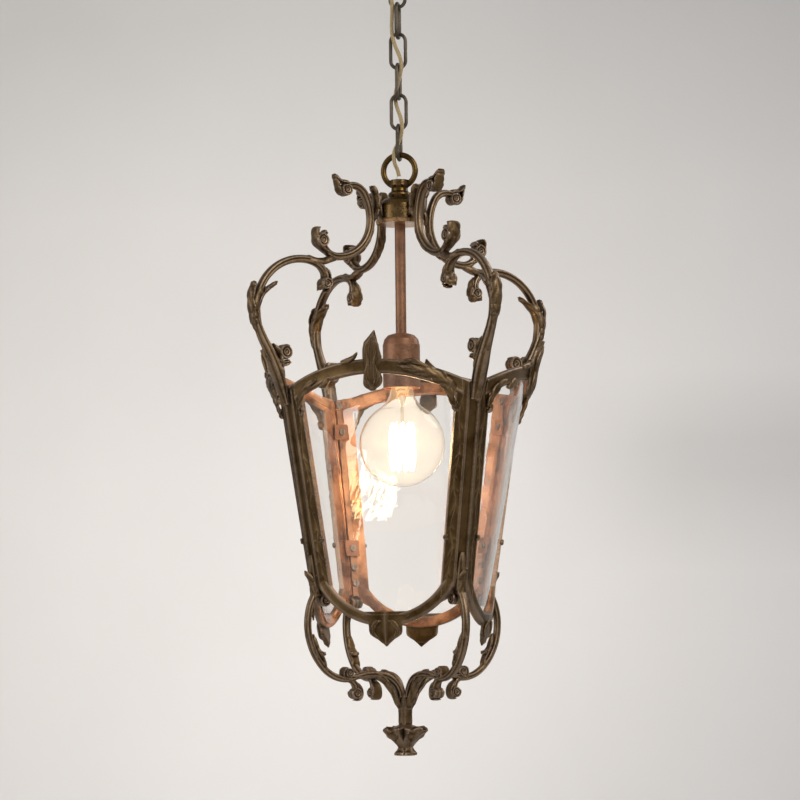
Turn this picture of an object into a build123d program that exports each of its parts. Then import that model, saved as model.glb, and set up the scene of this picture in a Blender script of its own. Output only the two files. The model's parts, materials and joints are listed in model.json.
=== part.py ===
"""Hanging lantern: ceiling rose, chain, cast scroll crown, bulged glazed body, lower scrolls and finial.

Millimetres, +Z up. The origin is the centre of the ceiling rose on the ceiling, and all hangs below it.
The front face looks along -Y. Lantern pieces are drawn with z = 0 at the top of the hub, then lowered.
"""
from math import asin, cos, degrees, radians, sin, sqrt
import os

from build123d import *

os.makedirs("parts", exist_ok=True)

# ---- driving dimensions: suspension -------------------------------------------------------------
rose_radius = 52.0
rose_height = 26.0
rose_wall = 1.5
bracket_length = 84.0
bracket_width = 18.0
bracket_thickness = 2.5
bracket_hole_spacing = 66.0
bracket_hole_radius = 2.4
shank_radius = 4.0
loop_radius = 9.0              # centreline of the loop under the rose
loop_wire_radius = 2.25
collar_height = 8.0
collar_radius = 7.0
link_length = 43.0             # outside the wire
link_width = 21.0
link_wire_radius = 2.0
link_count = 6
swing_gap = 0.3                # left between two wires that hang in each other
ring_radius = 18.2             # centreline of the hanging ring
ring_bar_radius = 3.2
ring_height = 32.6             # ring centre above the top of the hub
flex_radius = 2.2
flex_exit = (-16.0, -4.0)       # where the flex leaves the rose
bush_radius = 4.0
block_centre = -24.0           # of the terminal block, along X
block_size = 26.0
block_bottom = -13.0
barrel_level = -8.0
barrel_spacing = 8.0
barrel_radius = 2.5
neck_bush_radius = 3.4

# ---- driving dimensions: hub, stem, lampholder and bulb -----------------------------------------
hub_radius = 24.5
hub_depth = 23.0
hub_wall = 3.0
hub_screw_level = -14.0
flange_radius = 27.5
flange_thickness = 5.0
stem_radius = 6.0
stem_bore = 4.0
stem_length = 158.0            # from the top of the hub down into the lampholder
fit_gap = 0.05                 # radial clearance of a tube or screw in its hole
nut_width = 15.4
nut_height = 5.0
holder_radius = 20.75
holder_top = -151.0
holder_length = 61.0
holder_wall = 1.2
shell_wall = 0.5               # of the metal screw shell
cap_radius = 13.2
cap_length = 23.0
bulb_radius = 47.5
bulb_below_holder = 110.0      # bottom of the bulb under the rim of the holder
bulb_wall = 0.8
filament_radius = 13.0
filament_count = 10
filament_wire = 0.45

# ---- driving dimensions: lantern body -----------------------------------------------------------
frame_high = -200.0            # two levels at which the plan of the body is given
frame_low = -420.0
corner_high = 152.0            # axis to the corner chamfer, at those levels
corner_low = 116.0
middle_high = 146.0            # axis to the middle of a bulged side
middle_low = 104.0
chamfer_width = 17.0
stile_width = 13.0
frame_thickness = 7.0
groove_width = 9.0
groove_depth = 2.0
rib_width = 7.0
joint_gap = 0.1                # between cast pieces that are bolted together
loft_levels = (-140.0, -540.0) # above and below every cast piece of the body
well_outside = 220.0           # past the outermost face of the body
post_top = -206.0
glass_thickness = 3.0
glass_lap = 5.0                # glass hidden behind a rail
clip_relief = 1.3
clip_size = 18.0
clip_thickness = 1.2
clip_levels = (-252.0, -386.0)
shoulder_screw_level = -222.0
foot_screw_levels = (-408.0, -426.0)
screw_radius = 2.0
screw_head_radius = 3.8
screw_head_height = 2.2
screw_slot = (1.6, 1.0)         # depth and width
screw_bite = 2.5               # of a foot screw into an arm
head_seat = 0.4                # keeps a flat screw head off the drum's round wall
rail_top_radius = 224.0        # upper edge of a top rail, an arc in elevation
rail_top_crown = -195.5
rail_under_radius = 196.0      # lower edge of a top rail
rail_under_crown = -208.5
sill_radius = 75.0             # upper edge of a bottom rail
sill_bottom = -467.5
sill_depth = 12.0

# ---- driving dimensions: scroll bars and finial -------------------------------------------------
crown_bar_depth = 8.6          # in the plane of the scroll
crown_bar_width = 10.0         # across it
lower_bar_depth = 7.4
lower_bar_width = 9.0
boss_radius = 9.0
boss_top = -556.0
finial_top = -588.0
finial_bottom = -621.0

corners = {"front_left": 225, "front_right": 315, "back_right": 45, "back_left": 135}
sides = {"front": 0, "right": 90, "back": 180, "left": 270}

# ---- levels that follow from the dimensions -----------------------------------------------------
loop_bottom = -rose_height - collar_height + 2.0 - 2 * loop_radius
link_straight = link_length - 2 * link_wire_radius - (link_width - 2 * link_wire_radius)
link_span = link_length - 2 * link_wire_radius
link_pitch = link_span - 2 * link_wire_radius - swing_gap
first_link_top = loop_bottom + loop_wire_radius + link_wire_radius + swing_gap
last_link_bottom = first_link_top - (link_count - 1) * link_pitch - link_span
ring_top = last_link_bottom + link_wire_radius + ring_bar_radius + swing_gap
lantern_z = ring_top - ring_radius - ring_height
holder_rim = holder_top - holder_length
bulb_centre = holder_rim - bulb_below_holder + bulb_radius
cap_top = holder_rim + 4.0 + cap_length
glass_back = frame_thickness + joint_gap + glass_thickness
clip_depth = glass_back + clip_relief


def save(name, shape, height=0.0):
    """Writes one sub-part, lowered by height."""
    shape = Pos(0, 0, height) * shape
    shape.label = name
    export_step(shape, f"parts/{name}.step")


def save_lantern(name, shape):
    save(name, shape, lantern_z)


def turned(points):
    """A solid of revolution about Z from a closed outline of (radius, z) points."""
    return revolve(Plane.XZ * make_face(Polyline(*points, close=True)), Axis.Z)


def disc(radius, top, bottom):
    return Pos(0, 0, (top + bottom) / 2) * Cylinder(radius, top - bottom)


def hex_nut(width, height, bore, top):
    prism = extrude(RegularPolygon(width / 2, 6, major_radius=False), height)
    return Pos(0, 0, top - height) * prism - disc(bore, top + 1, top - height - 1)


# ---- ceiling rose and its fittings --------------------------------------------------------------
def ceiling_rose(flex_hole):
    """A dished cup with a flat underside and an open top that meets the ceiling."""
    shoulder = rose_radius - 10
    outer = [
        (0, 0),
        (rose_radius, 0),
        (rose_radius, -5),
        (rose_radius - 3, -8),
        (shoulder, -rose_height + 5),
        (shoulder - 8, -rose_height),
        (0, -rose_height),
    ]
    inner = [
        (0, 1),
        (rose_radius - rose_wall, 1),
        (rose_radius - rose_wall, -4.5),
        (rose_radius - 3 - rose_wall, -7.5),
        (shoulder - rose_wall, -rose_height + 5.5),
        (shoulder - 8.6, -rose_height + rose_wall),
        (0, -rose_height + rose_wall),
    ]
    cup = turned(outer) - turned(inner)
    cup -= disc(shank_radius + fit_gap, 0, -rose_height - 1)
    return cup - Pos(*flex_hole) * disc(bush_radius + fit_gap, 0, -rose_height - 1)


def ceiling_bracket():
    """The strap that is screwed to the ceiling, with a tapped boss for the loop's shank."""
    strap = Pos(0, 0, -bracket_thickness / 2) * Box(bracket_length, bracket_width, bracket_thickness)
    for side in (-1, 1):
        hole = disc(bracket_hole_radius, 1, -bracket_thickness - 1)
        strap -= Pos(side * bracket_hole_spacing / 2, 0) * hole
    boss = disc(shank_radius + 3, 0, -bracket_thickness - 10)
    return strap + boss - disc(shank_radius + fit_gap, -bracket_thickness - 1, -bracket_thickness - 11)


def rose_loop():
    """The eye under the rose, with the collar that holds the rose up and the shank above it."""
    eye_centre = loop_bottom + loop_radius
    eye = Pos(0, 0, eye_centre) * Rot(0, 90, 0) * Torus(loop_radius, loop_wire_radius)
    collar = disc(collar_radius, -rose_height, -rose_height - collar_height)
    shank = disc(shank_radius, -bracket_thickness - 2, -rose_height - 1)
    return eye + collar + shank


def rose_bush():
    """The grommet that the flex leaves the rose through."""
    body = disc(bush_radius, -rose_height + rose_wall + 1, -rose_height - 1)
    lip = disc(bush_radius + 2, -rose_height, -rose_height - 2)
    bore = disc(flex_radius + fit_gap, 0, -rose_height - 5)
    return Pos(*flex_exit) * (body + lip - bore)


def terminal_block():
    """The insulating body of a three-way connector, with a tunnel for each barrel."""
    block_height = -bracket_thickness - block_bottom
    block = Pos(block_centre, 0, block_bottom + block_height / 2) * Box(block_size, block_size, block_height)
    for row in (-1, 0, 1):
        tunnel = Rot(0, 90, 0) * Cylinder(barrel_radius + 0.1, block_size + 4)
        block -= Pos(block_centre, row * barrel_spacing, barrel_level) * tunnel
    return fillet(block.edges().filter_by(Axis.Z), 1.5)


def terminal_barrels():
    barrels = []
    for row in (-1, 0, 1):
        barrel = Rot(0, 90, 0) * (Cylinder(barrel_radius, 20) - Cylinder(1.6, 22))
        barrels.append(Pos(block_centre, row * barrel_spacing, barrel_level) * barrel)
    return Compound(children=barrels)


# ---- chain --------------------------------------------------------------------------------------
def chain_link(top):
    """An oval link in the XZ plane whose upper wire is centred at the level top."""
    bend = link_width / 2 - link_wire_radius
    high = top - bend
    low = high - link_straight
    right = Line((bend, 0, high), (bend, 0, low))
    under = ThreePointArc((bend, 0, low), (0, 0, low - bend), (-bend, 0, low))
    left = Line((-bend, 0, low), (-bend, 0, high))
    over = ThreePointArc((-bend, 0, high), (0, 0, high + bend), (bend, 0, high))
    section = Plane(origin=(bend, 0, high), z_dir=(0, 0, -1)) * Circle(link_wire_radius)
    return sweep(section, path=Wire([right, under, left, over]))


def hanging_ring():
    """The ring the chain holds, cast in one with the waisted neck below it, bored for the flex."""
    ring = Pos(0, 0, ring_height) * Rot(90, 0, 0) * Torus(ring_radius, ring_bar_radius)
    waist = [(10.5, 22), (10.5, 16), (9.2, 12.5), (9.6, 9.5)]
    bead = [(12.5, 7), (13, 5), (12, 2)]
    neck = turned([(0, 22), *waist, *bead, (0, 2)])
    bore = disc(neck_bush_radius + fit_gap, 30, 0)
    socket = disc(stem_radius + fit_gap, 9, 0)
    return ring + neck - bore - socket


def neck_bush():
    """The clear sleeve that guards the flex where it enters the neck."""
    return disc(neck_bush_radius, 26, 10) - disc(flex_radius + fit_gap, 30, 5)


# ---- hub, stem and lampholder -------------------------------------------------------------------
def hub_drum():
    """A cast drum with a domed top, open below."""
    dome = [(0, 2), (12.5, 2), (17, 0.6), (21.5, -2.6), (hub_radius - 0.6, -6), (hub_radius, -8.5)]
    outer = dome + [(hub_radius, -hub_depth), (0, -hub_depth)]
    inside = hub_radius - hub_wall
    low = -hub_depth - 1
    inner = [(0, -2.4), (inside - 6, -2.4), (inside, -9), (inside, low), (0, low)]
    drum = turned(outer) - turned(inner) - disc(stem_radius + fit_gap, 5, -10)
    for angle in corners.values():
        drum -= Rot(0, 0, angle) * Pos(hub_radius, 0, hub_screw_level) * screw_hole(4 * hub_wall)
    return drum


def hub_flange():
    """The brass disc that closes the drum."""
    edge = flange_radius
    low = -hub_depth - flange_thickness
    top = -hub_depth
    plate = turned([(0, top), (edge - 1.5, top), (edge, top - 1.5), (edge - 1, low), (0, low)])
    return plate - disc(stem_radius + fit_gap, 0, low - 1)


def hub_screws():
    """Four screws from inside the drum into the crown arms."""
    inner = hub_radius - hub_wall - head_seat
    screws = []
    for angle in corners.values():
        screw = screw_along_x(-screw_head_height, hub_wall + 3 * screw_bite)
        screws.append(Rot(0, 0, angle) * Pos(inner, 0, hub_screw_level) * screw)
    return Compound(children=screws)


def screw_along_x(head_end, tip):
    """A screw on the X axis whose head sits at x = head_end to 0 and whose tip is at x = tip."""
    head = Pos(head_end / 2, 0, 0) * Rot(0, 90, 0) * Cylinder(screw_head_radius, abs(head_end))
    shank = Pos(tip / 2, 0, 0) * Rot(0, 90, 0) * Cylinder(screw_radius, abs(tip))
    slot = Pos(head_end, 0, 0) * Box(*screw_slot, 3 * screw_head_radius)
    return head + shank - slot


def stem_tube():
    return disc(stem_radius, 8.9, -stem_length) - disc(stem_bore, 12, -stem_length - 1)


def holder_cover():
    """The domed metal cup over the lampholder."""
    r = holder_radius
    top = holder_top
    rim = holder_rim
    w = holder_wall
    outer = [(0, top), (9, top), (15, top - 2), (19, top - 6.5), (r, top - 13), (r, rim), (0, rim)]
    roof = [(0, top - w), (9, top - w), (14.4, top - 2 - w), (18, top - 7), (r - w, top - 13.4)]
    inner = roof + [(r - w, rim - 1), (0, rim - 1)]
    return turned(outer) - turned(inner) - disc(stem_radius + fit_gap, top + 1, top - 5)


def holder_body():
    """The insulating lampholder, with a deep socket for the cap of the bulb."""
    top = holder_top - 14
    body = disc(holder_radius - holder_wall - 0.4, top, holder_rim + 2)
    socket = disc(cap_radius + shell_wall + 2 * fit_gap, cap_top + 1.5, holder_rim)
    return body - socket


def holder_shell():
    """The metal screw shell that lines the socket."""
    high = cap_top - 4
    low = high - cap_length + 4
    bore = cap_radius + fit_gap
    return disc(bore + shell_wall, high, low) - disc(bore, high + 1, low - 1)


def holder_contact():
    """The centre contact, a small brass stud in the roof of the socket."""
    return disc(2.5, cap_top + 1.5, cap_top + 0.2)


def bulb_cap():
    """The screw cap of the bulb with its insulator and centre contact."""
    low = cap_top - cap_length
    tip = [(0, cap_top), (4.5, cap_top), (5, cap_top - 1.5), (10, cap_top - 3.5)]
    thread = [(cap_radius - 0.8, cap_top - 5), (cap_radius, cap_top - 6), (cap_radius, low), (0, low)]
    return turned(tip + thread)


def globe_profile(inset):
    """Closed half outline of the globe, a sphere that necks in to the cap."""
    low = cap_top - cap_length
    neck = cap_radius - 0.2 - inset
    ball = bulb_radius - inset
    join = radians(35)
    join_point = (ball * sin(join), bulb_centre + ball * cos(join))
    bottom = (0, bulb_centre - ball)
    waist = (neck + 3.2, (low + join_point[1]) / 2 - 3)
    shoulder = ThreePointArc((neck, low), waist, join_point)
    sphere = ThreePointArc(join_point, (ball, bulb_centre), bottom)
    axis = Polyline(bottom, (0, low), (neck, low))
    return make_face([shoulder, sphere, axis])


def bulb_globe():
    solid = revolve(Plane.XZ * globe_profile(0), Axis.Z)
    hollow = revolve(Plane.XZ * globe_profile(bulb_wall), Axis.Z)
    return solid - hollow


def bulb_mount():
    """The glass stem inside the globe that carries the filament."""
    low = cap_top - cap_length
    end = bulb_centre + 4
    return turned([(0, low), (10, low), (5, low - 14), (3, low - 20), (1.6, low - 24), (1.6, end), (0, end)])


def bulb_filament():
    """A squirrel cage of upright filaments, each leaning to its neighbour, on two wire hoops."""
    low = cap_top - cap_length
    high_level = low - 28
    low_level = bulb_centre - 16
    strands = []
    for i in range(filament_count):
        start = Rot(0, 0, 360 * i / filament_count) * Pos(filament_radius - 3, 0, high_level + 1)
        end = Rot(0, 0, 360 * (i + 0.5) / filament_count) * Pos(filament_radius, 0, low_level - 1)
        line = Line(start.position, end.position)
        strands.append(sweep(Plane(origin=line @ 0, z_dir=line % 0) * Circle(filament_wire), path=line))
    cage = hoop(filament_radius - 3, high_level) + hoop(filament_radius, low_level)
    for strand in strands:
        cage += strand
    spider = Pos(0, 0, high_level) * Box(2 * filament_radius - 6, 1.2, 1.2)
    return cage + (spider - disc(1.6 + fit_gap, 0, -400))


def hoop(radius, level):
    """A flat wire hoop round the axis."""
    return disc(radius + 0.7, level + 0.6, level - 0.6) - disc(radius - 0.7, level + 1, level - 1)


# ---- plan of the bulged body --------------------------------------------------------------------
def between(z, high, low):
    """Straight-line value at level z from its values at the two given levels."""
    return high + (low - high) * (z - frame_high) / (frame_low - frame_high)


def side_arc(z):
    """Radius, centre distance and half angle of a side's plan arc, chamfer edge to chamfer edge."""
    corner = between(z, corner_high, corner_low)
    middle = between(z, middle_high, middle_low)
    half_chord = (corner - chamfer_width / 2) / sqrt(2)
    chord_distance = (corner + chamfer_width / 2) / sqrt(2)
    rise = middle - chord_distance
    radius = (half_chord**2 + rise**2) / (2 * rise)
    return radius, middle - radius, asin(half_chord / radius)


def arc_point(z, angle, offset):
    """(sideways, outward) of a point on the side's plan arc, moved outward by offset."""
    radius, centre, _ = side_arc(z)
    return (radius + offset) * sin(angle), centre + (radius + offset) * cos(angle)


def shell_section(z, outside, inside):
    """Plan strip of one side at level z, between two offsets from its outer surface."""
    half = side_arc(z)[2]
    edges = []
    ends = []
    for offset in (outside, inside):
        points = [arc_point(z, angle, offset) for angle in (-half, 0, half)]
        points = [(x, -y, z) for x, y in points]
        edges.append(ThreePointArc(*points))
        ends.append((points[0], points[2]))
    edges.append(Line(ends[0][0], ends[1][0]))
    edges.append(Line(ends[0][1], ends[1][1]))
    return make_face(edges)


def side_shell(outside, inside):
    """The bulged, tapered wall of the front side."""
    return loft([shell_section(z, outside, inside) for z in loft_levels], ruled=True)


def outward(sketch):
    """Extrudes a front-elevation sketch outward through the front wall."""
    return extrude(Plane.XZ * sketch, well_outside)


def stile_edge(z):
    """Sideways distance from the middle of a side to the inner edge of its stile, at level z."""
    edges = []
    for level, corner in ((frame_high, corner_high), (frame_low, corner_low)):
        half_chord = (corner - chamfer_width / 2) / sqrt(2)
        edges.append(half_chord - stile_width * cos(side_arc(level)[2]))
    return between(z, *edges)


def flank(margin):
    """Front elevation of the side between its two stiles, widened by margin."""
    high, low = [(stile_edge(z) + margin, z) for z in loft_levels]
    return make_face(Polyline((-high[0], high[1]), high, low, (-low[0], low[1]), close=True))


def post_section(z):
    """Plan of the core of a corner post at level z: the grooved chamfer and the inner rib."""
    corner = between(z, corner_high, corner_low)
    half_angle = side_arc(z)[2]
    side, out = arc_point(z, half_angle, -frame_thickness)
    inner_corner = ((side + out) / sqrt(2), (out - side) / sqrt(2))
    half = [
        (corner - groove_depth, 0),
        (corner - groove_depth, groove_width / 2 - 1.5),
        (corner, groove_width / 2),
        (corner, chamfer_width / 2),
        inner_corner,
        (corner - frame_thickness, rib_width / 2),
        (corner - clip_depth, rib_width / 2),
        (corner - clip_depth, 0),
    ]
    other = [(r, -t) for r, t in reversed(half[1:-1])]
    return make_face(Polyline(*[(r, t, z) for r, t in half + other], close=True))


post_slope = (corner_high - corner_low) / (frame_high - frame_low)
post_lean = degrees(asin(post_slope / sqrt(1 + post_slope**2)))


clip_inset = clip_depth / cos(radians(post_lean)) ** 2


def post_frame(z, inset):
    """Location on a post at level z, inset behind its chamfer, with X pointing straight out of it."""
    return Pos(between(z, corner_high, corner_low) - inset, 0, z) * Rot(0, post_lean, 0)


sill_centre = sill_bottom + sill_radius


def sill_underside(x):
    """Level of the lower edge of a bottom rail at the sideways distance x."""
    return sill_centre - sqrt((sill_radius + sill_depth) ** 2 - x**2)


def below_sill():
    """Everything under the lower edge of a bottom rail, as seen from the front."""
    keep = Pos(0, sill_centre) * Circle(sill_radius + sill_depth)
    return outward(Pos(0, sill_centre - well_outside) * Rectangle(2 * well_outside, 2 * well_outside) - keep)


post_bottom = sill_underside((corner_low - chamfer_width / 2) / sqrt(2))


def screw_hole(length):
    return Rot(0, 90, 0) * Cylinder(screw_radius + fit_gap, length)


def foot_hole(level):
    """The blind hole of a foot screw in an arm, from the post's inside outward."""
    depth = clip_depth + screw_bite + 1
    return post_frame(level, clip_inset) * Pos(depth / 2, 0, 0) * screw_hole(depth)


def level_box(top, bottom):
    """Everything between two levels."""
    return Pos(0, 0, (top + bottom) / 2) * Box(2 * well_outside, 2 * well_outside, top - bottom)


def corner_post():
    """A corner post standing on the +X axis: the core and the stile of each side that meets it."""
    core = loft([post_section(z) for z in loft_levels], ruled=True)
    post = core & level_box(post_top, post_bottom)
    under_arch = outward(Pos(0, rail_top_crown - rail_top_radius) * Circle(rail_top_radius))
    stiles = (side_shell(0, -frame_thickness) & under_arch) - outward(flank(0)) - below_sill()
    for side in (1, -1):
        half_plan = Pos(side * well_outside, 0) * Box(2 * well_outside, 4 * well_outside, 6 * well_outside)
        post += Rot(0, 0, 90 - side * 45) * (stiles & half_plan)
    for level in clip_levels + foot_screw_levels + (shoulder_screw_level,):
        post -= post_frame(level, clip_inset) * screw_hole(4 * clip_depth)
    return post


def top_rail():
    """The arched upper rail of the front side, with the leaf crest at its middle."""
    over = Pos(0, rail_top_crown - rail_top_radius) * Circle(rail_top_radius)
    under = Pos(0, rail_under_crown - rail_under_radius) * Circle(rail_under_radius)
    band = (over - under) & flank(-joint_gap)
    rail = outward(band) & side_shell(0, -frame_thickness)
    leaf = [(0, -167), (11, -181), (8, -193), (12, -207), (7, -220), (0, -228)]
    other = [(-x, z) for x, z in reversed(leaf[1:-1])]
    crest = outward(make_face(Polyline(*leaf, *other, close=True))) & side_shell(8, -frame_thickness)
    return rail + crest


def bottom_rail():
    """The hanging U-shaped lower rail of the front side, with a pendant leaf at its middle."""
    ring = Circle(sill_radius + sill_depth) - Circle(sill_radius)
    band = (Pos(0, sill_centre) * ring - Pos(0, sill_centre + 80) * Rectangle(400, 200)) & flank(-joint_gap)
    rail = outward(band) & side_shell(0, -frame_thickness)
    low = sill_bottom - sill_depth
    leaf = [(0, low - 19), (8, low - 14), (17, low - 8), (19, low + 5)]
    other = [(-x, z) for x, z in reversed(leaf[1:])]
    pendant = outward(make_face(Polyline(*leaf, *other, close=True))) & side_shell(3, -frame_thickness + 2)
    return rail + pendant


def glass_pane():
    """A bulged pane that laps behind the posts and rails of the front side."""
    head_radius = rail_under_radius + glass_lap
    head = Pos(0, rail_under_crown - rail_under_radius) * Circle(head_radius)
    above = Pos(0, sill_centre + well_outside) * Rectangle(2 * well_outside, 2 * well_outside)
    foot = Pos(0, sill_centre) * Circle(sill_radius + glass_lap) + above
    return outward(head & foot & flank(2 * stile_width)) & side_shell(-frame_thickness - joint_gap, -glass_back)


def glass_clips():
    """Eight square plates that hold the panes into the corners, two on each post."""
    clips = []
    plate = Pos(-clip_thickness / 2, 0, 0) * Box(clip_thickness, clip_size, clip_size)
    plate -= screw_hole(8 * clip_thickness)
    for angle in corners.values():
        for level in clip_levels:
            clips.append(Rot(0, 0, angle) * post_frame(level, clip_inset) * plate)
    return Compound(children=clips)


def clip_screws():
    screws = []
    for angle in corners.values():
        for level in clip_levels:
            screw = Pos(-clip_thickness, 0, 0) * screw_along_x(-screw_head_height, clip_thickness + 7)
            screws.append(Rot(0, 0, angle) * post_frame(level, clip_inset) * screw)
    return Compound(children=screws)


def arm_screws():
    """Twelve screws from inside the posts into the feet of the crown arms and the lower arms."""
    screws = []
    for angle in corners.values():
        for level in foot_screw_levels + (shoulder_screw_level,):
            screw = screw_along_x(-screw_head_height, clip_depth + screw_bite)
            screws.append(Rot(0, 0, angle) * post_frame(level, clip_inset) * screw)
    return Compound(children=screws)


# ---- scroll bars --------------------------------------------------------------------------------
def arc_step(start, heading, radius, turn):
    """End of an arc that leaves start along heading and turns by turn degrees, left positive."""
    chord = 2 * radius * sin(radians(abs(turn) / 2))
    course = radians(heading + turn / 2)
    return start[0] + chord * cos(course), start[1] + chord * sin(course)


def scroll_bar(start, heading, turns, width, depth):
    """An oval bar along tangent arcs in the XZ plane: turns are (radius, degrees) pairs."""
    edges = []
    point = start
    course = heading
    for radius, turn in turns:
        middle = arc_step(point, course, radius, turn / 2)
        end = arc_step(point, course, radius, turn)
        edges.append(ThreePointArc(*[(p[0], 0, p[1]) for p in (point, middle, end)]))
        point = end
        course += turn
    path = Wire(edges)
    section = Plane(origin=path @ 0, x_dir=(0, 1, 0), z_dir=path % 0) * Ellipse(width / 2, depth / 2)
    return sweep(section, path=path)


def roll(r, z, radius, width):
    """A rolled end: a short cylinder across the bar."""
    return fillet((Pos(r, 0, z) * Rot(90, 0, 0) * Cylinder(radius, width)).edges(), 1.0)


def slab(points, width):
    """A plate across the scroll plane with the given (radius, z) outline."""
    return extrude(Plane.XZ * make_face(Polyline(*points, close=True)), width / 2, both=True)


def chamfer_face(z):
    """Radius just clear of a post's chamfer at level z."""
    return between(z, corner_high, corner_low) + joint_gap


def crown_arm():
    """One casting: the C-scroll at the hub, and the long shoulder scroll down to the post."""
    bar = (crown_bar_width, crown_bar_depth)
    upper = scroll_bar((72, 7.5), 155, [(25, 25), (17.2, 60), (56.8, 30), (44, 90), (20, 80)], *bar)
    upper += roll(71, 3.5, 6.5, 15)
    upper += roll(103, -54, 8.5, 17)
    lower = scroll_bar((98, -98), 90, [(20, -70), (46, -20), (58.5, -90), (75, -47)], *bar)
    lower += roll(97.5, -101, 6.5, 13)
    leaf = slab([(70, 5), (76, 8), (83, 20), (86, 19), (83, 6), (76, -3)], 9)
    bridge = roll(98.5, -76.3, 7, crown_bar_width - 1)
    pad = slab([(hub_radius - 3, -3), (40, 4), (42, -24), (hub_radius - 3, -21)], 11)
    pad -= disc(hub_radius + fit_gap, 10, -40)
    acanthus = slab([(176, -104), (188, -106), (195, -128), (193, -146), (186, -160), (183, -140)], 14)
    toe = post_top - 34
    stand = [(146, post_top), (145, -194), (150, -186), (158, -188), (167, -184), (169, -196), (162, -214),
             (chamfer_face(toe) + 3, toe), (chamfer_face(toe), toe), (chamfer_face(post_top), post_top)]
    foot = slab(stand, 14) + roll(151, -181, 7.5, 14)
    arm = upper + lower + leaf + bridge + pad + acanthus + foot
    arm -= foot_hole(shoulder_screw_level)
    return arm - Pos(hub_radius, 0, hub_screw_level) * screw_hole(6 * screw_bite)


def lower_arm():
    """The arm under a post: foot pad, long C-scroll, and the arch in to the centre boss."""
    bar = (lower_bar_width, lower_bar_depth)
    outer = scroll_bar((112, -438), 305, [(66, -35), (68, -45), (41, -45), (11, 95)], *bar)
    inner = scroll_bar((73, -533), 205, [(14, -40), (80, 25), (27, 75)], *bar)
    hooks = roll(62.5, -550, 6, 12) + roll(73, -531, 4.5, 11)
    stub = roll(104, -450, 6, 12) + slab([(104, -455), (104, -443), (116, -441), (119, -450)], 9)
    spur = slab([(115, -428), (127, -419), (124, -424), (120, -434), (114, -440)], 8)
    face = [(chamfer_face(z), z) for z in (-400, post_bottom)]
    under = post_bottom - joint_gap
    outside = [(122.5, -402), (122, -430), (121, -440), (112, -447), (106, -444)]
    pad = slab([face[0], *outside, (108, under), (face[1][0], under)], 11)
    nub = slab([(112, -519), (105, -508), (103, -514), (106, -524)], 9)
    arm = pad + outer + inner + hooks + stub + spur + nub
    for level in foot_screw_levels:
        arm -= foot_hole(level)
    return arm - disc(boss_radius, -500, -640)


def bottom_boss():
    """The turned boss that the four lower arms run into, tapped below for the finial."""
    top = [(0, boss_top), (5, boss_top), (boss_radius, boss_top - 4)]
    body = turned(top + [(boss_radius, finial_top + 2), (boss_radius - 1.5, finial_top), (0, finial_top)])
    return body - disc(3 + fit_gap, finial_top + 14, finial_top - 1)


def finial():
    """A leaf cup over a flared drop, with a stud up into the boss."""
    cup = [(10, finial_top), (22, finial_top - 4), (23, finial_top - 9), (14, finial_top - 15)]
    flare = [(9.5, finial_top - 22), (13, finial_bottom + 4), (10, finial_bottom)]
    drop = turned([(0, finial_top), *cup, *flare, (0, finial_bottom)])
    return drop + disc(3, finial_top + 12, finial_top - 1)


# ---- flex ---------------------------------------------------------------------------------------
# The route of the flex from the terminal block, in and out of the links, to the neck.
flex_route = [
    (-16, -4, -13),
    (-16, -4, -39),
    (-9.5, -6.6, -57),
    (-5.4, -4.9, -76),
    (-4.9, -5.1, -90),
    (-6.2, -4.9, -106),
    (-4.8, -5.1, -123.5),
    (4.8, -5, -145.2),
    (4.8, -5, -158.2),
    (-4.8, 5, -180),
    (-4.8, 5, -193),
    (4.8, -5, -214.6),
    (4.8, -5, -227.4),
    (0.2, -2.4, -238.4),
    (-4.8, -6.2, -249.4),
    (-4.8, -6.2, -261.4),
    (0, 0, -273.5),
    (0, 0, -285),
]


def turn_half_angle(before, at, after):
    first = Vector(*at) - Vector(*before)
    second = Vector(*after) - Vector(*at)
    return first.get_angle(second) / 2, min(first.length, second.length)


def flex_tube(route, radius):
    """A tube of straight runs joined by tangent arcs as large as the runs allow."""
    radii = []
    for before, at, after in zip(route, route[1:], route[2:]):
        half, run = turn_half_angle(before, at, after)
        radii.append(0.45 * run * cos(radians(half)) / sin(radians(half)))
    print("flex bend radii, mm:", [round(r, 1) for r in radii])
    path = FilletPolyline(*route, radius=radii)
    print("flex length, mm:", round(path.length, 1))
    return sweep(Plane(origin=path @ 0, z_dir=path % 0) * Circle(radius), path=path)


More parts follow.
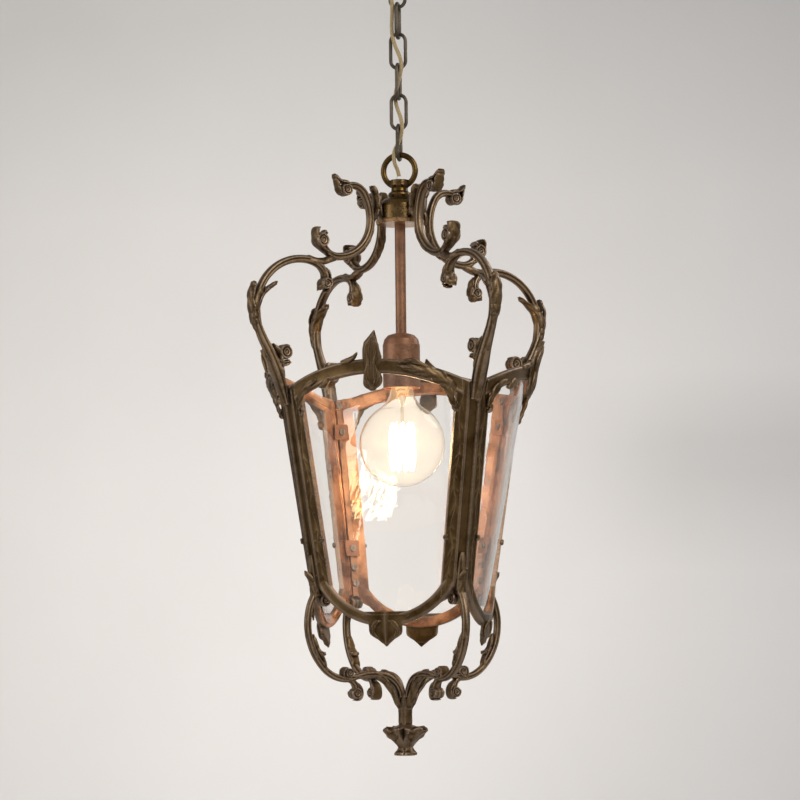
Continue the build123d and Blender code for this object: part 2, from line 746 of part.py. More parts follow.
def build():
    save("ceiling_rose", ceiling_rose(flex_exit))
    save("ceiling_bracket", ceiling_bracket())
    save("rose_loop", rose_loop())
    save("rose_bush", rose_bush())
    save("terminal_block", terminal_block())
    save("terminal_barrels", terminal_barrels())
    save("supply_flex", flex_tube(flex_route, flex_radius))

    for index in range(link_count):
        link = chain_link(first_link_top - index * link_pitch)
        save(f"chain_link_{index + 1}", Rot(0, 0, 90 * (index % 2)) * link)

    save_lantern("hanging_ring", hanging_ring())
    save_lantern("neck_bush", neck_bush())
    save_lantern("hub_drum", hub_drum())
    save_lantern("hub_flange", hub_flange())
    nut_bore = stem_radius + fit_gap
    save_lantern("hub_nut", hex_nut(nut_width, nut_height, nut_bore, -2.4))
    save_lantern("hub_screws", hub_screws())
    save_lantern("stem_tube", stem_tube())
    save_lantern("stem_nut", hex_nut(nut_width, nut_height, nut_bore, holder_top - holder_wall))
    inner_top = flex_route[-1][2] - lantern_z
    save_lantern("inner_flex", disc(flex_radius, inner_top, holder_top - 14))
    save_lantern("holder_cover", holder_cover())
    save_lantern("holder_body", holder_body())
    save_lantern("holder_shell", holder_shell())
    save_lantern("holder_contact", holder_contact())
    save_lantern("bulb_cap", bulb_cap())
    save_lantern("bulb_globe", bulb_globe())
    save_lantern("bulb_mount", bulb_mount())
    save_lantern("bulb_filament", bulb_filament())

    post = corner_post()
    arm = crown_arm()
    below = lower_arm()
    for name, angle in corners.items():
        save_lantern(f"corner_post_{name}", Rot(0, 0, angle) * post)
        save_lantern(f"crown_arm_{name}", Rot(0, 0, angle) * arm)
        save_lantern(f"lower_arm_{name}", Rot(0, 0, angle) * below)

    head = top_rail()
    sill = bottom_rail()
    pane = glass_pane()
    for name, angle in sides.items():
        save_lantern(f"top_rail_{name}", Rot(0, 0, angle) * head)
        save_lantern(f"bottom_rail_{name}", Rot(0, 0, angle) * sill)
        save_lantern(f"glass_pane_{name}", Rot(0, 0, angle) * pane)

    save_lantern("glass_clips", glass_clips())
    save_lantern("clip_screws", clip_screws())
    save_lantern("arm_screws", arm_screws())
    save_lantern("bottom_boss", bottom_boss())
    save_lantern("finial", finial())


build()
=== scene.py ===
import json
import math
import bpy
import numpy as np
from mathutils import Matrix, Vector


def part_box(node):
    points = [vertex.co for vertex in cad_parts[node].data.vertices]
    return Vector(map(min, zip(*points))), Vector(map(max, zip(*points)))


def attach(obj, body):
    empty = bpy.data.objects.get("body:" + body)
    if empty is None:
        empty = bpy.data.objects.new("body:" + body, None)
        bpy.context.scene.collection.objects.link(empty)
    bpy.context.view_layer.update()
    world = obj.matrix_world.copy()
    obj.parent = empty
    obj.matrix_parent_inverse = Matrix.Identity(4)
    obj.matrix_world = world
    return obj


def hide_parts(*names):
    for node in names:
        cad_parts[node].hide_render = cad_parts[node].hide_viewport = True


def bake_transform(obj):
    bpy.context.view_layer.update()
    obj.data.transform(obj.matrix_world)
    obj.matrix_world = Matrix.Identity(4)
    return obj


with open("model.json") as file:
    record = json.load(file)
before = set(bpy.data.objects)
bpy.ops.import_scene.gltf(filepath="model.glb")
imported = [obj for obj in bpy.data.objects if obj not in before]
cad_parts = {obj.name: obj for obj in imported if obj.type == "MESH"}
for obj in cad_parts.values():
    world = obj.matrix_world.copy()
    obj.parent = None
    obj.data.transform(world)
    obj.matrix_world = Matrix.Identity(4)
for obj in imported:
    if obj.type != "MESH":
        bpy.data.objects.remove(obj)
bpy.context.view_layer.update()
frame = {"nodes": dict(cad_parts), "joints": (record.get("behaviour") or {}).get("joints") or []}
mm = 0.001
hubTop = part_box("hub_drum")[1].z                                   # z = 0 of every lantern piece below

cornerAngles = {"front_left": 225, "front_right": 315, "back_right": 45, "back_left": 135}
sideAngles = {"front": 0, "right": 90, "back": 180, "left": 270}

# camera: height and distance from the axis in mm, angles in degrees, lens on a 36 mm sensor
cameraSettings = {"azimuth": 12.85, "distance": 3376.0, "height": -821.0, "pitch": 4.954, "roll": 0.12,
                  "lean": -0.502, "sideStep": -4.67, "lens": 136.86, "sensor": 36, "clipEnd": 50}


def makeCamera(s):
    # right, up and forward axes from pitch and roll, then the small lean, then the turn about Z
    pitch, roll, lean = (math.radians(s[k]) for k in ("pitch", "roll", "lean"))
    right = np.array([1.0, 0.0, 0.0])
    ahead = np.array([0.0, math.cos(pitch), math.sin(pitch)])
    up = np.array([0.0, -math.sin(pitch), math.cos(pitch)])
    right, up = right * math.cos(roll) - up * math.sin(roll), right * math.sin(roll) + up * math.cos(roll)
    a = math.radians(s["azimuth"])
    turn = np.array([[math.cos(a), -math.sin(a), 0], [math.sin(a), math.cos(a), 0], [0, 0, 1]])
    tilt = np.array([[1, 0, -lean], [0, 1, 0], [lean, 0, 1]])
    axes = [turn @ tilt @ v for v in (right, up, -ahead)]
    place = turn @ np.array([s["sideStep"], -s["distance"], s["height"]]) * mm
    cam = bpy.data.objects.new("camera", bpy.data.cameras.new("camera"))
    cam.data.lens = s["lens"]
    cam.data.sensor_width = s["sensor"]
    cam.data.clip_end = s["clipEnd"]
    rows = [[axes[0][i], axes[1][i], axes[2][i], place[i]] for i in range(3)] + [[0, 0, 0, 1]]
    cam.matrix_world = Matrix(rows)
    bpy.context.scene.collection.objects.link(cam)
    bpy.context.scene.camera = cam


makeCamera(cameraSettings)
print("camera set")


def closedTube(points, relief=None, loop=False, bulbLitFaces=None):
    # grid of n stations by m points round; each end closes on the mean of its ring, or the last ring joins the
    # first; the faces are turned over where the signed volume comes out below nothing
    n, m, _ = points.shape
    # relief carries painted shade and highlight for each point, and the inside mask marks faces painted with the
    # bulb's warm light
    relief = np.ones((n, m)) if relief is None else np.broadcast_to(relief, (n, m))
    inner = np.zeros((n, m)) if bulbLitFaces is None else np.broadcast_to(bulbLitFaces, (n, m))
    verts = points.reshape(-1, 3)
    i = np.arange(n if loop else n - 1)[:, None]
    j = np.arange(m)[None, :]
    k = (i + 1) % n
    jj = (j + 1) % m
    quads = np.stack([i * m + j, i * m + jj, k * m + jj, k * m + j], -1).reshape(-1, 4)
    shade, inner = relief.reshape(-1), inner.reshape(-1)
    tris = np.zeros((0, 3), int)
    if not loop:
        verts = np.vstack([verts, points[0].mean(0), points[-1].mean(0)])
        shade = np.append(shade, [relief[0].mean(), relief[-1].mean()])
        inner = np.append(inner, [0, 0])
        here, after = np.arange(m), (np.arange(m) + 1) % m
        first = np.stack([here, np.full(m, n * m), after], -1)
        base = (n - 1) * m
        last = np.stack([base + here, base + after, np.full(m, n * m + 1)], -1)
        tris = np.vstack([first, last])
    a, b, c, d = (verts[quads[:, q]] for q in range(4))
    volume = np.einsum("ij,ij->", a, np.cross(b, c)) + np.einsum("ij,ij->", a, np.cross(c, d))
    if volume < 0:
        quads, tris = quads[:, ::-1], tris[:, ::-1]
    uv = np.stack(np.broadcast_arrays(np.arange(m)[None, :] / m, np.arange(n)[:, None] / n), -1).reshape(-1, 2)
    if not loop:
        uv = np.vstack([uv, [0, 0], [0, 1]])
    return {"verts": verts, "quads": quads, "tris": tris, "relief": shade, "bulbLitFaces": inner, "uv": uv}


def turnZ(part, degrees):
    # the part turned about the vertical: (x cos - y sin, x sin + y cos)
    a = math.radians(degrees)
    spin = np.array([[math.cos(a), math.sin(a), 0], [-math.sin(a), math.cos(a), 0], [0, 0, 1]])
    return {**part, "verts": part["verts"] @ spin}


def makePiece(name, parts, body, material, nodes=(), sharp=38.0):
    # parts in lantern millimetres become one mesh object in the frame, in metres
    verts = np.vstack([p["verts"] for p in parts]) * mm
    verts[:, 2] += hubTop
    starts = np.cumsum([0] + [len(p["verts"]) for p in parts])
    quads = np.vstack([p["quads"] + s for p, s in zip(parts, starts)])
    tris = np.vstack([p["tris"] + s for p, s in zip(parts, starts)])
    mesh = bpy.data.meshes.new(name)
    mesh.vertices.add(len(verts))
    mesh.vertices.foreach_set("co", verts.astype(np.float32).ravel())
    loops = np.concatenate([quads.ravel(), tris.ravel()]).astype(np.int32)
    totals = np.concatenate([np.full(len(quads), 4), np.full(len(tris), 3)])
    mesh.loops.add(len(loops))
    mesh.loops.foreach_set("vertex_index", loops)
    mesh.polygons.add(len(totals))
    mesh.polygons.foreach_set("loop_start", (np.cumsum(totals) - totals).astype(np.int32))
    mesh.polygons.foreach_set("use_smooth", np.ones(len(totals), bool))
    mesh.update(calc_edges=True)
    # point attributes: relief for painted shade and highlight, and the mask of faces painted with the bulb's warm
    # light
    for key in ("relief", "bulbLitFaces"):
        attribute = mesh.attributes.new(key, "FLOAT", "POINT")
        attribute.data.foreach_set("value", np.concatenate([p[key] for p in parts]).astype(np.float32))
    uvs = np.vstack([p["uv"] for p in parts])
    layer = mesh.uv_layers.new(name="along")
    layer.data.foreach_set("uv", uvs[loops].astype(np.float32).ravel())
    mesh.set_sharp_from_angle(angle=math.radians(sharp))
    mesh.validate()
    obj = bpy.data.objects.new(name, mesh)
    bpy.context.scene.collection.objects.link(obj)
    mesh.materials.append(material)
    if body:
        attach(obj, body)
    if nodes:
        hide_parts(*nodes)
    return obj


def unit(vectors):
    # each vector over its length
    return vectors / np.linalg.norm(vectors, axis=1)[:, None]


def roundWire(line, side, up, radius, m):
    # circle of m points at each point of the line: line + radius x (side cos t + up sin t)
    t = np.arange(m)[None, :, None] * 2 * math.pi / m
    return line[:, None] + radius * (np.cos(t) * side[:, None] + np.sin(t) * up[:, None])


def ring(m, power):
    # unit superellipse: (across, up) of m points, squarer as power falls below one
    t = np.arange(m) * 2 * math.pi / m
    c, s = np.cos(t), np.sin(t)
    return np.sign(c) * np.abs(c) ** power, np.sign(s) * np.abs(s) ** power


def smoothPath(points, count):
    # Catmull-Rom curve through the points, sampled evenly in its parameter
    p = np.array(points, float)
    p = np.vstack([2 * p[0] - p[1], p, 2 * p[-1] - p[-2]])
    t = np.linspace(0, len(p) - 3 - 1e-9, count)
    i = t.astype(int)
    f = (t - i)[:, None]
    a, b, c, d = p[i], p[i + 1], p[i + 2], p[i + 3]
    return 0.5 * (2 * b + (c - a) * f + (2 * a - 5 * b + 4 * c - d) * f**2 + (3 * b - a - 3 * c + d) * f**3)


def arcPath(start, heading, turns, step=1.3):
    # tangent arcs in the scroll plane: each point is start + chord along heading plus half the turn so far
    points, point, course = [], np.array(start, float), heading
    for radius, turn in turns:
        count = max(3, int(math.radians(abs(turn)) * radius / step))
        a = np.linspace(0, turn, count + 1)[1:]
        chord = 2 * radius * np.sin(np.radians(np.abs(a)) / 2)
        way = np.radians(course + a / 2)
        points.append(point + np.stack([chord * np.cos(way), chord * np.sin(way)], -1))
        point, course = points[-1][-1], course + turn
    return np.vstack([[start]] + points), course


def scrollPath(start, heading, head, turns, tail):
    # a bar's line with a rolled end before it and another after it
    before, _ = arcPath(start, heading + 180, head, 0.8) if head else (np.zeros((1, 2)), 0)
    main, course = arcPath(start, heading, turns)
    after, _ = arcPath(main[-1], course, tail, 0.8) if tail else (np.zeros((1, 2)), 0)
    path = np.vstack([before[:0:-1], main, after[1:]])
    return path, len(before) - 1, len(before) - 2 + len(main)


def planeFrame(path):
    # centre, side and normal of a line that lies in the scroll plane (radius, height)
    d = unit(np.gradient(path, axis=0))
    zero = np.zeros(len(path))
    centre = np.stack([path[:, 0], zero, path[:, 1]], -1)
    normal = np.stack([-d[:, 1], zero, d[:, 0]], -1)
    side = np.broadcast_to([0.0, 1.0, 0.0], centre.shape)
    return centre, side, normal


def reededBar(path, width, depth, groove=0.16, m=28):
    # oval section with a groove down the middle of both sides and a flat reed on the outside, carried along path
    centre, side, normal = planeFrame(path)
    across, up = ring(m, 0.78)
    dip = np.exp(-((up / 0.22) ** 2))
    edge = np.exp(-(((np.abs(across) - 0.62) / 0.16) ** 2)) * np.abs(up)
    x = (width[:, None] / 2) * across * (1 - groove * dip)
    y = (depth[:, None] / 2) * up * (1 - 0.13 * edge)
    points = centre[:, None] + x[..., None] * side[:, None] + y[..., None] * normal[:, None]
    # relief values: painted shade down the middle groove and along the reed edges
    return closedTube(points, 1 - 0.9 * np.maximum(dip, edge)[None, :] * np.ones((len(path), 1)))


def leaf(centre, side, normal, left, right, thick, lobes=3, notch=0.3, cup=0.0, vein=0.5, m=30):
    # a lobed leaf: half widths notched between lobes, arched across by cup, with a midrib and slanted veins
    slantBack, spareVeins = 0.252, 2
    n = len(centre)
    u = np.linspace(0, 1, n)[:, None]
    across, up = ring(m, 0.85)
    across, up = across[None, :], up[None, :]
    lobe = 1 - notch * (1 - np.abs(np.sin(math.pi * lobes * u)) ** 0.55) if lobes else 1.0
    half = np.where(across > 0, right[:, None], left[:, None]) * lobe
    slant = np.cos(2 * math.pi * (lobes or spareVeins) * (u + slantBack * np.abs(across)))
    rib = np.exp(-((across / 0.13) ** 2))
    front = np.clip(up * 3, 0, 1)
    ends = np.clip(np.minimum(u, 1 - u) * 9, 0.25, 1)
    beside = np.exp(-(((np.abs(across) - 0.24) / 0.1) ** 2))
    relief = vein * (rib * 1.1 - 0.75 * beside + 0.5 * slant * np.abs(across) ** 0.7)
    height = (thick / 2) * up * ends - cup * across**2 + relief * front * ends
    points = centre[:, None] + (half * across)[..., None] * side[:, None] + height[..., None] * normal[:, None]
    # relief values: painted shade in the vein hollows, painted highlight on the ribs; the back a flat 0.6
    shade = np.clip(0.55 + relief / (2.2 * max(vein, 0.01)) + 0 * height, 0, 1)
    return closedTube(points, np.where(front > 0, shade, 0.6))


def flat(values, n):
    # widths given at even stations, read off at n points
    return np.interp(np.linspace(0, 1, n), np.linspace(0, 1, len(values)), values)


def planeLeaf(points, halfWidth, thick=2.2, count=46, flip=1, **more):
    # a leaf whose midrib follows points in the scroll plane
    path = smoothPath(points, count)
    centre, side, normal = planeFrame(path)
    half = flat(halfWidth, count)
    return leaf(centre, side, normal * flip, half, half, thick, **more)


def leafRows(maker, rows):
    # one leaf for each row: midrib, half widths (left and right on a side leaf), thickness, then the rest by name
    return [maker(*row[:-1], **row[-1]) for row in rows]


def turnedShape(outline, m=64, fluting=None):
    # (radius, height) outline spun round the vertical, its radius times fluting(height, angle) where that is given
    o = smoothPath(outline, 4 * len(outline))
    t = np.arange(m) * 2 * math.pi / m
    radius = o[:, :1] * (1 if fluting is None else fluting(o[:, 1:], t[None, :]))
    return closedTube(np.stack([radius * np.cos(t), radius * np.sin(t), o[:, 1:] + 0 * (radius + t)], -1))


def rollEnd(r, z, radius, width, step=0.0, m=40):
    # rolled end across the scroll plane: the radius grows once round like a rolled sheet, the two ends are dished
    # round an eye, and the barrel has faint flutes
    t = np.arange(m) * 2 * math.pi / m
    grow = 0.84 + 0.20 * (((t / (2 * math.pi)) - step / 360) % 1.0)
    h = width / 2
    outline = [(0.001, -h + 1.6), (0.28, -h + 1.5), (0.36, -h + 0.2), (0.50, -h), (0.56, -h + 1.1), (0.66, -h + 1.0),
               (0.74, -h + 0.1), (0.92, -h)]
    outline += [(1.0, -h + 0.9), (1.03, -h * 0.62), (0.975, -h * 0.36), (1.03, -h * 0.12)]
    outline += [(1.03, h * 0.12), (0.975, h * 0.36), (1.03, h * 0.62), (1.0, h - 0.9)]
    outline += [(a, -b) for a, b in outline[7::-1]]
    o = np.array(outline)
    reach = radius * o[:, :1] * grow[None, :]
    points = np.stack([r + reach * np.cos(t), o[:, 1:] + 0 * reach, z + reach * np.sin(t)], -1)
    # relief values: painted shade in the dish round the eye and in the flutes, painted highlight on their crests
    reaches, shades = [0, 0.5, 0.57, 0.66, 0.8, 0.975, 1.03], [0.7, 0.8, 0.2, 0.3, 0.9, 0.45, 0.95]
    shade = np.interp(o[:, 0], reaches, shades)[:, None]
    return closedTube(points, shade + 0 * reach)


def newMaterial(name):
    # material with its node tree, its shader and the coordinates that its patterns read
    mat = bpy.data.materials.new(name)
    mat.use_nodes = True
    tree = mat.node_tree
    shader = tree.nodes["Principled BSDF"]
    coords = tree.nodes.new("ShaderNodeTexCoord")
    return mat, tree, shader, coords


def add(tree, kind, inputs=None, **settings):
    # node with its inputs linked where a socket is given and set where a value is
    node = tree.nodes.new(kind)
    for key, value in settings.items():
        setattr(node, key, value)
    for key, value in (inputs or {}).items():
        if isinstance(value, bpy.types.NodeSocket):
            tree.links.new(value, node.inputs[key])
        else:
            node.inputs[key].default_value = value
    return node


def noise(tree, coords, scale, detail=4.0, rough=0.6):
    # cloudy value from 0 to 1 on object coordinates
    inputs = {"Vector": coords.outputs["Object"], "Scale": scale, "Detail": detail, "Roughness": rough}
    return add(tree, "ShaderNodeTexNoise", inputs).outputs["Fac"]


def ramp(tree, value, stops):
    # colour, or a grey given as one number, read off between the stops
    node = add(tree, "ShaderNodeValToRGB", {"Fac": value})
    elements = node.color_ramp.elements
    while len(elements) < len(stops):
        elements.new(0.5)
    for element, (place, colour) in zip(elements, stops):
        element.position = place
        element.color = (*(colour if isinstance(colour, tuple) else (colour,) * 3), 1)
    return node.outputs["Color"]


def maths(tree, operation, a, b):
    # a and b put together by one operation
    return add(tree, "ShaderNodeMath", {0: a, 1: b}, operation=operation).outputs[0]


def spread(tree, value, low, high, start=0.0, end=1.0):
    # runs from low to high as value runs from start to end
    span = {"Value": value, "From Min": start, "From Max": end, "To Min": low, "To Max": high}
    return add(tree, "ShaderNodeMapRange", span).outputs["Result"]


def setRough(tree, shader, *span):
    # roughness spread over a value
    tree.links.new(spread(tree, *span), shader.inputs["Roughness"])


def setBump(tree, shader, height, strength, distance):
    # surface tilted by the slope of height
    bump = add(tree, "ShaderNodeBump", {"Height": height, "Strength": strength, "Distance": distance})
    tree.links.new(bump.outputs["Normal"], shader.inputs["Normal"])


def setColour(tree, shader, colour, socket="Base Color"):
    # pattern linked to one of the shader's colours
    tree.links.new(colour, shader.inputs[socket])


def toned(colour, share):
    # each channel times share
    return tuple(c * share for c in colour)


def mixColour(tree, factor, a, b, blend="MIX"):
    # a x (1 - factor) + b x factor, or b multiplied in
    node = add(tree, "ShaderNodeMix", data_type="RGBA", blend_type=blend)
    for key, value in ((0, factor), (6, a), (7, b)):
        if isinstance(value, bpy.types.NodeSocket):
            tree.links.new(value, node.inputs[key])
        else:
            node.inputs[key].default_value = (*value, 1) if isinstance(value, tuple) else value
    return node.outputs[2]


# the last tones are the warm orange of the bulb's light, painted onto the inside faces
patinaSettings = {"cloud": 42.0, "coarse": 160.0, "fine": 420.0, "specular": 0.3, "bump": 0.0012,
                  "bulbGlow": [(0.36, (0.13, 0.058, 0.028)), (0.5, (0.36, 0.165, 0.075)), (0.66, (0.50, 0.26, 0.13))]}


def castMetal(name, deep, mid, wearAndHighlight, metallic=0.75, rough=(0.34, 0.6), grain=0.25, usesRelief=True, wearAndHighlightBy=0.8):
    # patina: large noise mixes deep and mid tones; grooves are darkened towards deep as painted shade, ridges and
    # edges are lightened as wear and painted highlight, and faces marked as lit by the bulb are painted its warm
    # orange light
    s = patinaSettings
    mat, tree, shader, coords = newMaterial(name)
    cloud = noise(tree, coords, s["cloud"], 5.0, 0.62)
    colour = ramp(tree, cloud, [(0.34, deep), (0.52, mid), (0.70, toned(mid, 1.35))])
    fine = noise(tree, coords, s["fine"], 3.0, 0.7)
    if usesRelief:
        relief = add(tree, "ShaderNodeAttribute", attribute_name="relief").outputs["Fac"]
        # painted shade: low relief values darken the grooves towards deep
        hollow = ramp(tree, relief, [(0.15, 1), (0.55, 0)])
        colour = mixColour(tree, hollow, colour, toned(deep, 0.72))
        # wear and painted highlight: high relief values lighten the ridges
        crest = ramp(tree, relief, [(0.72, 0), (1.0, 0.5)])
        colour = mixColour(tree, maths(tree, "MULTIPLY", crest, cloud), colour, wearAndHighlight)
        # painted light: faces marked as lit by the bulb take the warm orange of its light
        inner = add(tree, "ShaderNodeAttribute", attribute_name="bulbLitFaces").outputs["Fac"]
        colour = mixColour(tree, inner, colour, ramp(tree, cloud, s["bulbGlow"]))
    # wear and painted highlight: pointy edges lighten, broken by a speckle
    edge = add(tree, "ShaderNodeNewGeometry").outputs["Pointiness"]
    bright = ramp(tree, edge, [(0.505, 0), (0.56, wearAndHighlightBy)])
    speck = ramp(tree, fine, [(0.40, 0.2), (0.62, 1)])
    colour = mixColour(tree, maths(tree, "MULTIPLY", bright, speck), colour, wearAndHighlight)
    setColour(tree, shader, colour)
    shader.inputs["Metallic"].default_value = metallic
    shader.inputs["Specular IOR Level"].default_value = s["specular"]
    setRough(tree, shader, fine, *rough, 0.3, 0.7)
    coarse = noise(tree, coords, s["coarse"], 4.0, 0.65)
    setBump(tree, shader, maths(tree, "ADD", coarse, fine), grain, s["bump"])
    return mat


def throughGlass(tree, shader):
    # lamp rays pass straight through, so that what stands behind is lit
    path = add(tree, "ShaderNodeLightPath")
    clear = add(tree, "ShaderNodeBsdfTransparent")
    mix = add(tree, "ShaderNodeMixShader", {0: path.outputs["Is Shadow Ray"]})
    tree.links.new(shader.outputs[0], mix.inputs[1])
    tree.links.new(clear.outputs[0], mix.inputs[2])
    tree.links.new(mix.outputs[0], tree.nodes["Material Output"].inputs["Surface"])


def seeThrough(shader, tint, ior):
    # glass that lets all light through its tint
    shader.inputs["Base Color"].default_value = (*tint, 1)
    shader.inputs["Transmission Weight"].default_value = 1
    shader.inputs["IOR"].default_value = ior


def clearGlass(name, tint, wave=0.12, scale=26.0):
    # old sheet glass: a slow wave in its surface, and smears that dull it a little
    mat, tree, shader, coords = newMaterial(name)
    seeThrough(shader, tint, 1.45)
    soft = noise(tree, coords, scale, 2.0, 0.4)
    smear = noise(tree, coords, scale * 5, 4.0, 0.6)
    setRough(tree, shader, smear, 0.0, 0.015, 0.45, 0.8)
    setBump(tree, shader, soft, wave, 0.004)
    throughGlass(tree, shader)
    return mat


hazeSettings = {"colour": (1.0, 0.70, 0.38), "strength": 0.20, "rim": [(0.0, 1), (0.55, 0.35), (1.0, 0.12)]}


def bulbGlass(name):
    # clear globe with a warm haze of lamp light: strength times swirl, weakest at the rim
    mat, tree, shader, coords = newMaterial(name)
    seeThrough(shader, (1.0, 0.985, 0.95), 1.1)
    shader.inputs["Roughness"].default_value = 0.0
    facing = add(tree, "ShaderNodeLayerWeight", {"Blend": 0.35}).outputs["Facing"]
    power = maths(tree, "MULTIPLY", ramp(tree, facing, hazeSettings["rim"]), noise(tree, coords, 30.0, 3.0))
    power = maths(tree, "MULTIPLY", power, hazeSettings["strength"])
    shader.inputs["Emission Color"].default_value = (*hazeSettings["colour"], 1)
    tree.links.new(power, shader.inputs["Emission Strength"])
    throughGlass(tree, shader)
    return mat


def glowing(name, colour, strength):
    # hot wire: even emission whose colour flickers by a tenth along it
    mat, tree, shader, coords = newMaterial(name)
    tone = ramp(tree, noise(tree, coords, 300.0, 2.0), [(0.3, toned(colour, 0.9)), (0.7, colour)])
    setColour(tree, shader, tone, "Emission Color")
    shader.inputs["Emission Strength"].default_value = strength
    shader.inputs["Base Color"].default_value = (1, 0.9, 0.7, 1)
    return mat


def moulded(name, colour, rough=0.5):
    # plastic or ceramic: two close tones, faint orange-peel bump
    mat, tree, shader, coords = newMaterial(name)
    cloud = noise(tree, coords, 60.0, 4.0)
    setColour(tree, shader, ramp(tree, cloud, [(0.3, toned(colour, 0.85)), (0.7, colour)]))
    setRough(tree, shader, cloud, rough - 0.08, rough + 0.12)
    setBump(tree, shader, noise(tree, coords, 900.0, 2.0), 0.08, 0.0005)
    return mat


braidSettings = {"threads": 8.0, "pitch": 14.0, "sheen": 0.3, "bump": 0.0004,
                 "tones": [(0.30, (0.05, 0.035, 0.02)), (0.62, (0.34, 0.23, 0.09)), (1.0, (0.62, 0.47, 0.22))]}


def wovenFlex(name):
    # braid: two sets of helical threads from the tube's own UV, each a zigzag of (threads x round +- pitch x
    # along), the higher of the two showing, gold over dark
    s = braidSettings
    mat, tree, shader, coords = newMaterial(name)
    parts = add(tree, "ShaderNodeSeparateXYZ", {0: coords.outputs["UV"]})
    waves = []
    for sign in (1, -1):
        turn = maths(tree, "MULTIPLY", parts.outputs["X"], s["threads"] * sign)
        rise = maths(tree, "MULTIPLY", parts.outputs["Y"], s["pitch"])
        waves.append(maths(tree, "PINGPONG", maths(tree, "ADD", turn, rise), 1.0))
    weave = maths(tree, "MAXIMUM", *waves)
    setColour(tree, shader, ramp(tree, weave, s["tones"]))
    shader.inputs["Sheen Weight"].default_value = s["sheen"]
    setRough(tree, shader, noise(tree, coords, 800.0, 2.0), 0.35, 0.65)
    setBump(tree, shader, weave, 0.7, s["bump"])
    return mat


# across and up: painted light falloff over the wall; band and reach: where the painted shadow band lies
wallSettings = {
    "low": (0.77, 0.75, 0.73), "high": (0.81, 0.79, 0.77), "span": (-2.75, 2.95), "rise": (-1.25, 1.25), "rough": 0.9,
    "across": [(0.22, 1), (0.39, (0.84, 0.84, 0.85)), (0.5, (0.75, 0.76, 0.78)), (0.75, 1)],
    "up": [(0.0, 0.93), (0.4, 1), (0.75, 0.98), (1.0, (0.86, 0.87, 0.88))],
    "band": [(0.28, 0), (0.40, 1), (0.44, 1), (0.53, 0)],
    "reach": [(0.31, 0), (0.40, 0.15), (0.52, 0.15), (0.62, 0)],
}


def plainWall(name, s):
    # pale paint: cloudy tone times painted light falloff across and up the wall, less one painted soft shadow band
    mat, tree, shader, coords = newMaterial(name)
    colour = ramp(tree, noise(tree, coords, 0.8, 3.0), [(0.3, s["low"]), (0.7, s["high"])])
    parts = add(tree, "ShaderNodeSeparateXYZ", {0: coords.outputs["Object"]})
    side = spread(tree, parts.outputs["X"], 0.0, 1.0, *s["span"])
    rise = spread(tree, parts.outputs["Z"], 0.0, 1.0, *s["rise"])
    shadow = maths(tree, "MULTIPLY", ramp(tree, rise, s["band"]), ramp(tree, side, s["reach"]))
    for tone in (ramp(tree, side, s["across"]), ramp(tree, rise, s["up"])):
        colour = mixColour(tree, 1.0, colour, tone, "MULTIPLY")
    setColour(tree, shader, mixColour(tree, shadow, colour, (0.0, 0.0, 0.0)))
    shader.inputs["Roughness"].default_value = s["rough"]
    return mat


finishes = {
    "cast": castMetal("castBronze", (0.042, 0.021, 0.003), (0.102, 0.062, 0.025), (0.38, 0.29, 0.225),
                      metallic=0.85, rough=(0.29, 0.5)),
    "smoothCast": castMetal("smoothBronze", (0.036, 0.019, 0.004), (0.080, 0.045, 0.012), (0.24, 0.16, 0.085),
                            metallic=0.95, rough=(0.2, 0.38), grain=0.12, usesRelief=False, wearAndHighlightBy=0.4),
    "wire": castMetal("chainWire", (0.034, 0.027, 0.018), (0.080, 0.064, 0.047), (0.26, 0.22, 0.17),
                      rough=(0.34, 0.55), usesRelief=False, wearAndHighlightBy=0.4),
    "copper": castMetal("copperPatina", (0.10, 0.042, 0.019), (0.200, 0.092, 0.047), (0.42, 0.25, 0.16),
                        metallic=0.6, rough=(0.34, 0.5), grain=0.14, usesRelief=False, wearAndHighlightBy=0.3),
    "brass": castMetal("agedBrass", (0.16, 0.075, 0.025), (0.38, 0.20, 0.085), (0.70, 0.48, 0.28),
                       metallic=0.85, rough=(0.22, 0.42), grain=0.12, usesRelief=False, wearAndHighlightBy=0.5),
    "steel": castMetal("dulledSteel", (0.08, 0.060, 0.042), (0.20, 0.155, 0.115), (0.50, 0.42, 0.34),
                       metallic=0.9, grain=0.12, usesRelief=False, wearAndHighlightBy=0.5),
    "cap": castMetal("capMetal", (0.45, 0.42, 0.36), (0.62, 0.58, 0.50), (0.85, 0.82, 0.75),
                     metallic=0.9, grain=0.08, usesRelief=False),
    "glass": clearGlass("clearGlass", (0.995, 0.992, 0.985), 0.012),
    "bulb": bulbGlass("bulbGlass"),
    "mount": clearGlass("mountGlass", (1.0, 0.98, 0.92), 0.05, 80.0),
    "filament": glowing("filamentGlow", (1.0, 0.84, 0.55), 24.0),
    "ceramic": moulded("holderCeramic", (0.10, 0.085, 0.075), 0.45),
    "plastic": moulded("whitePlastic", (0.78, 0.76, 0.71), 0.4),
    "sleeve": moulded("clearSleeve", (0.85, 0.85, 0.82), 0.25),
    "flex": wovenFlex("wovenFlex"),
}
print("finishes made")

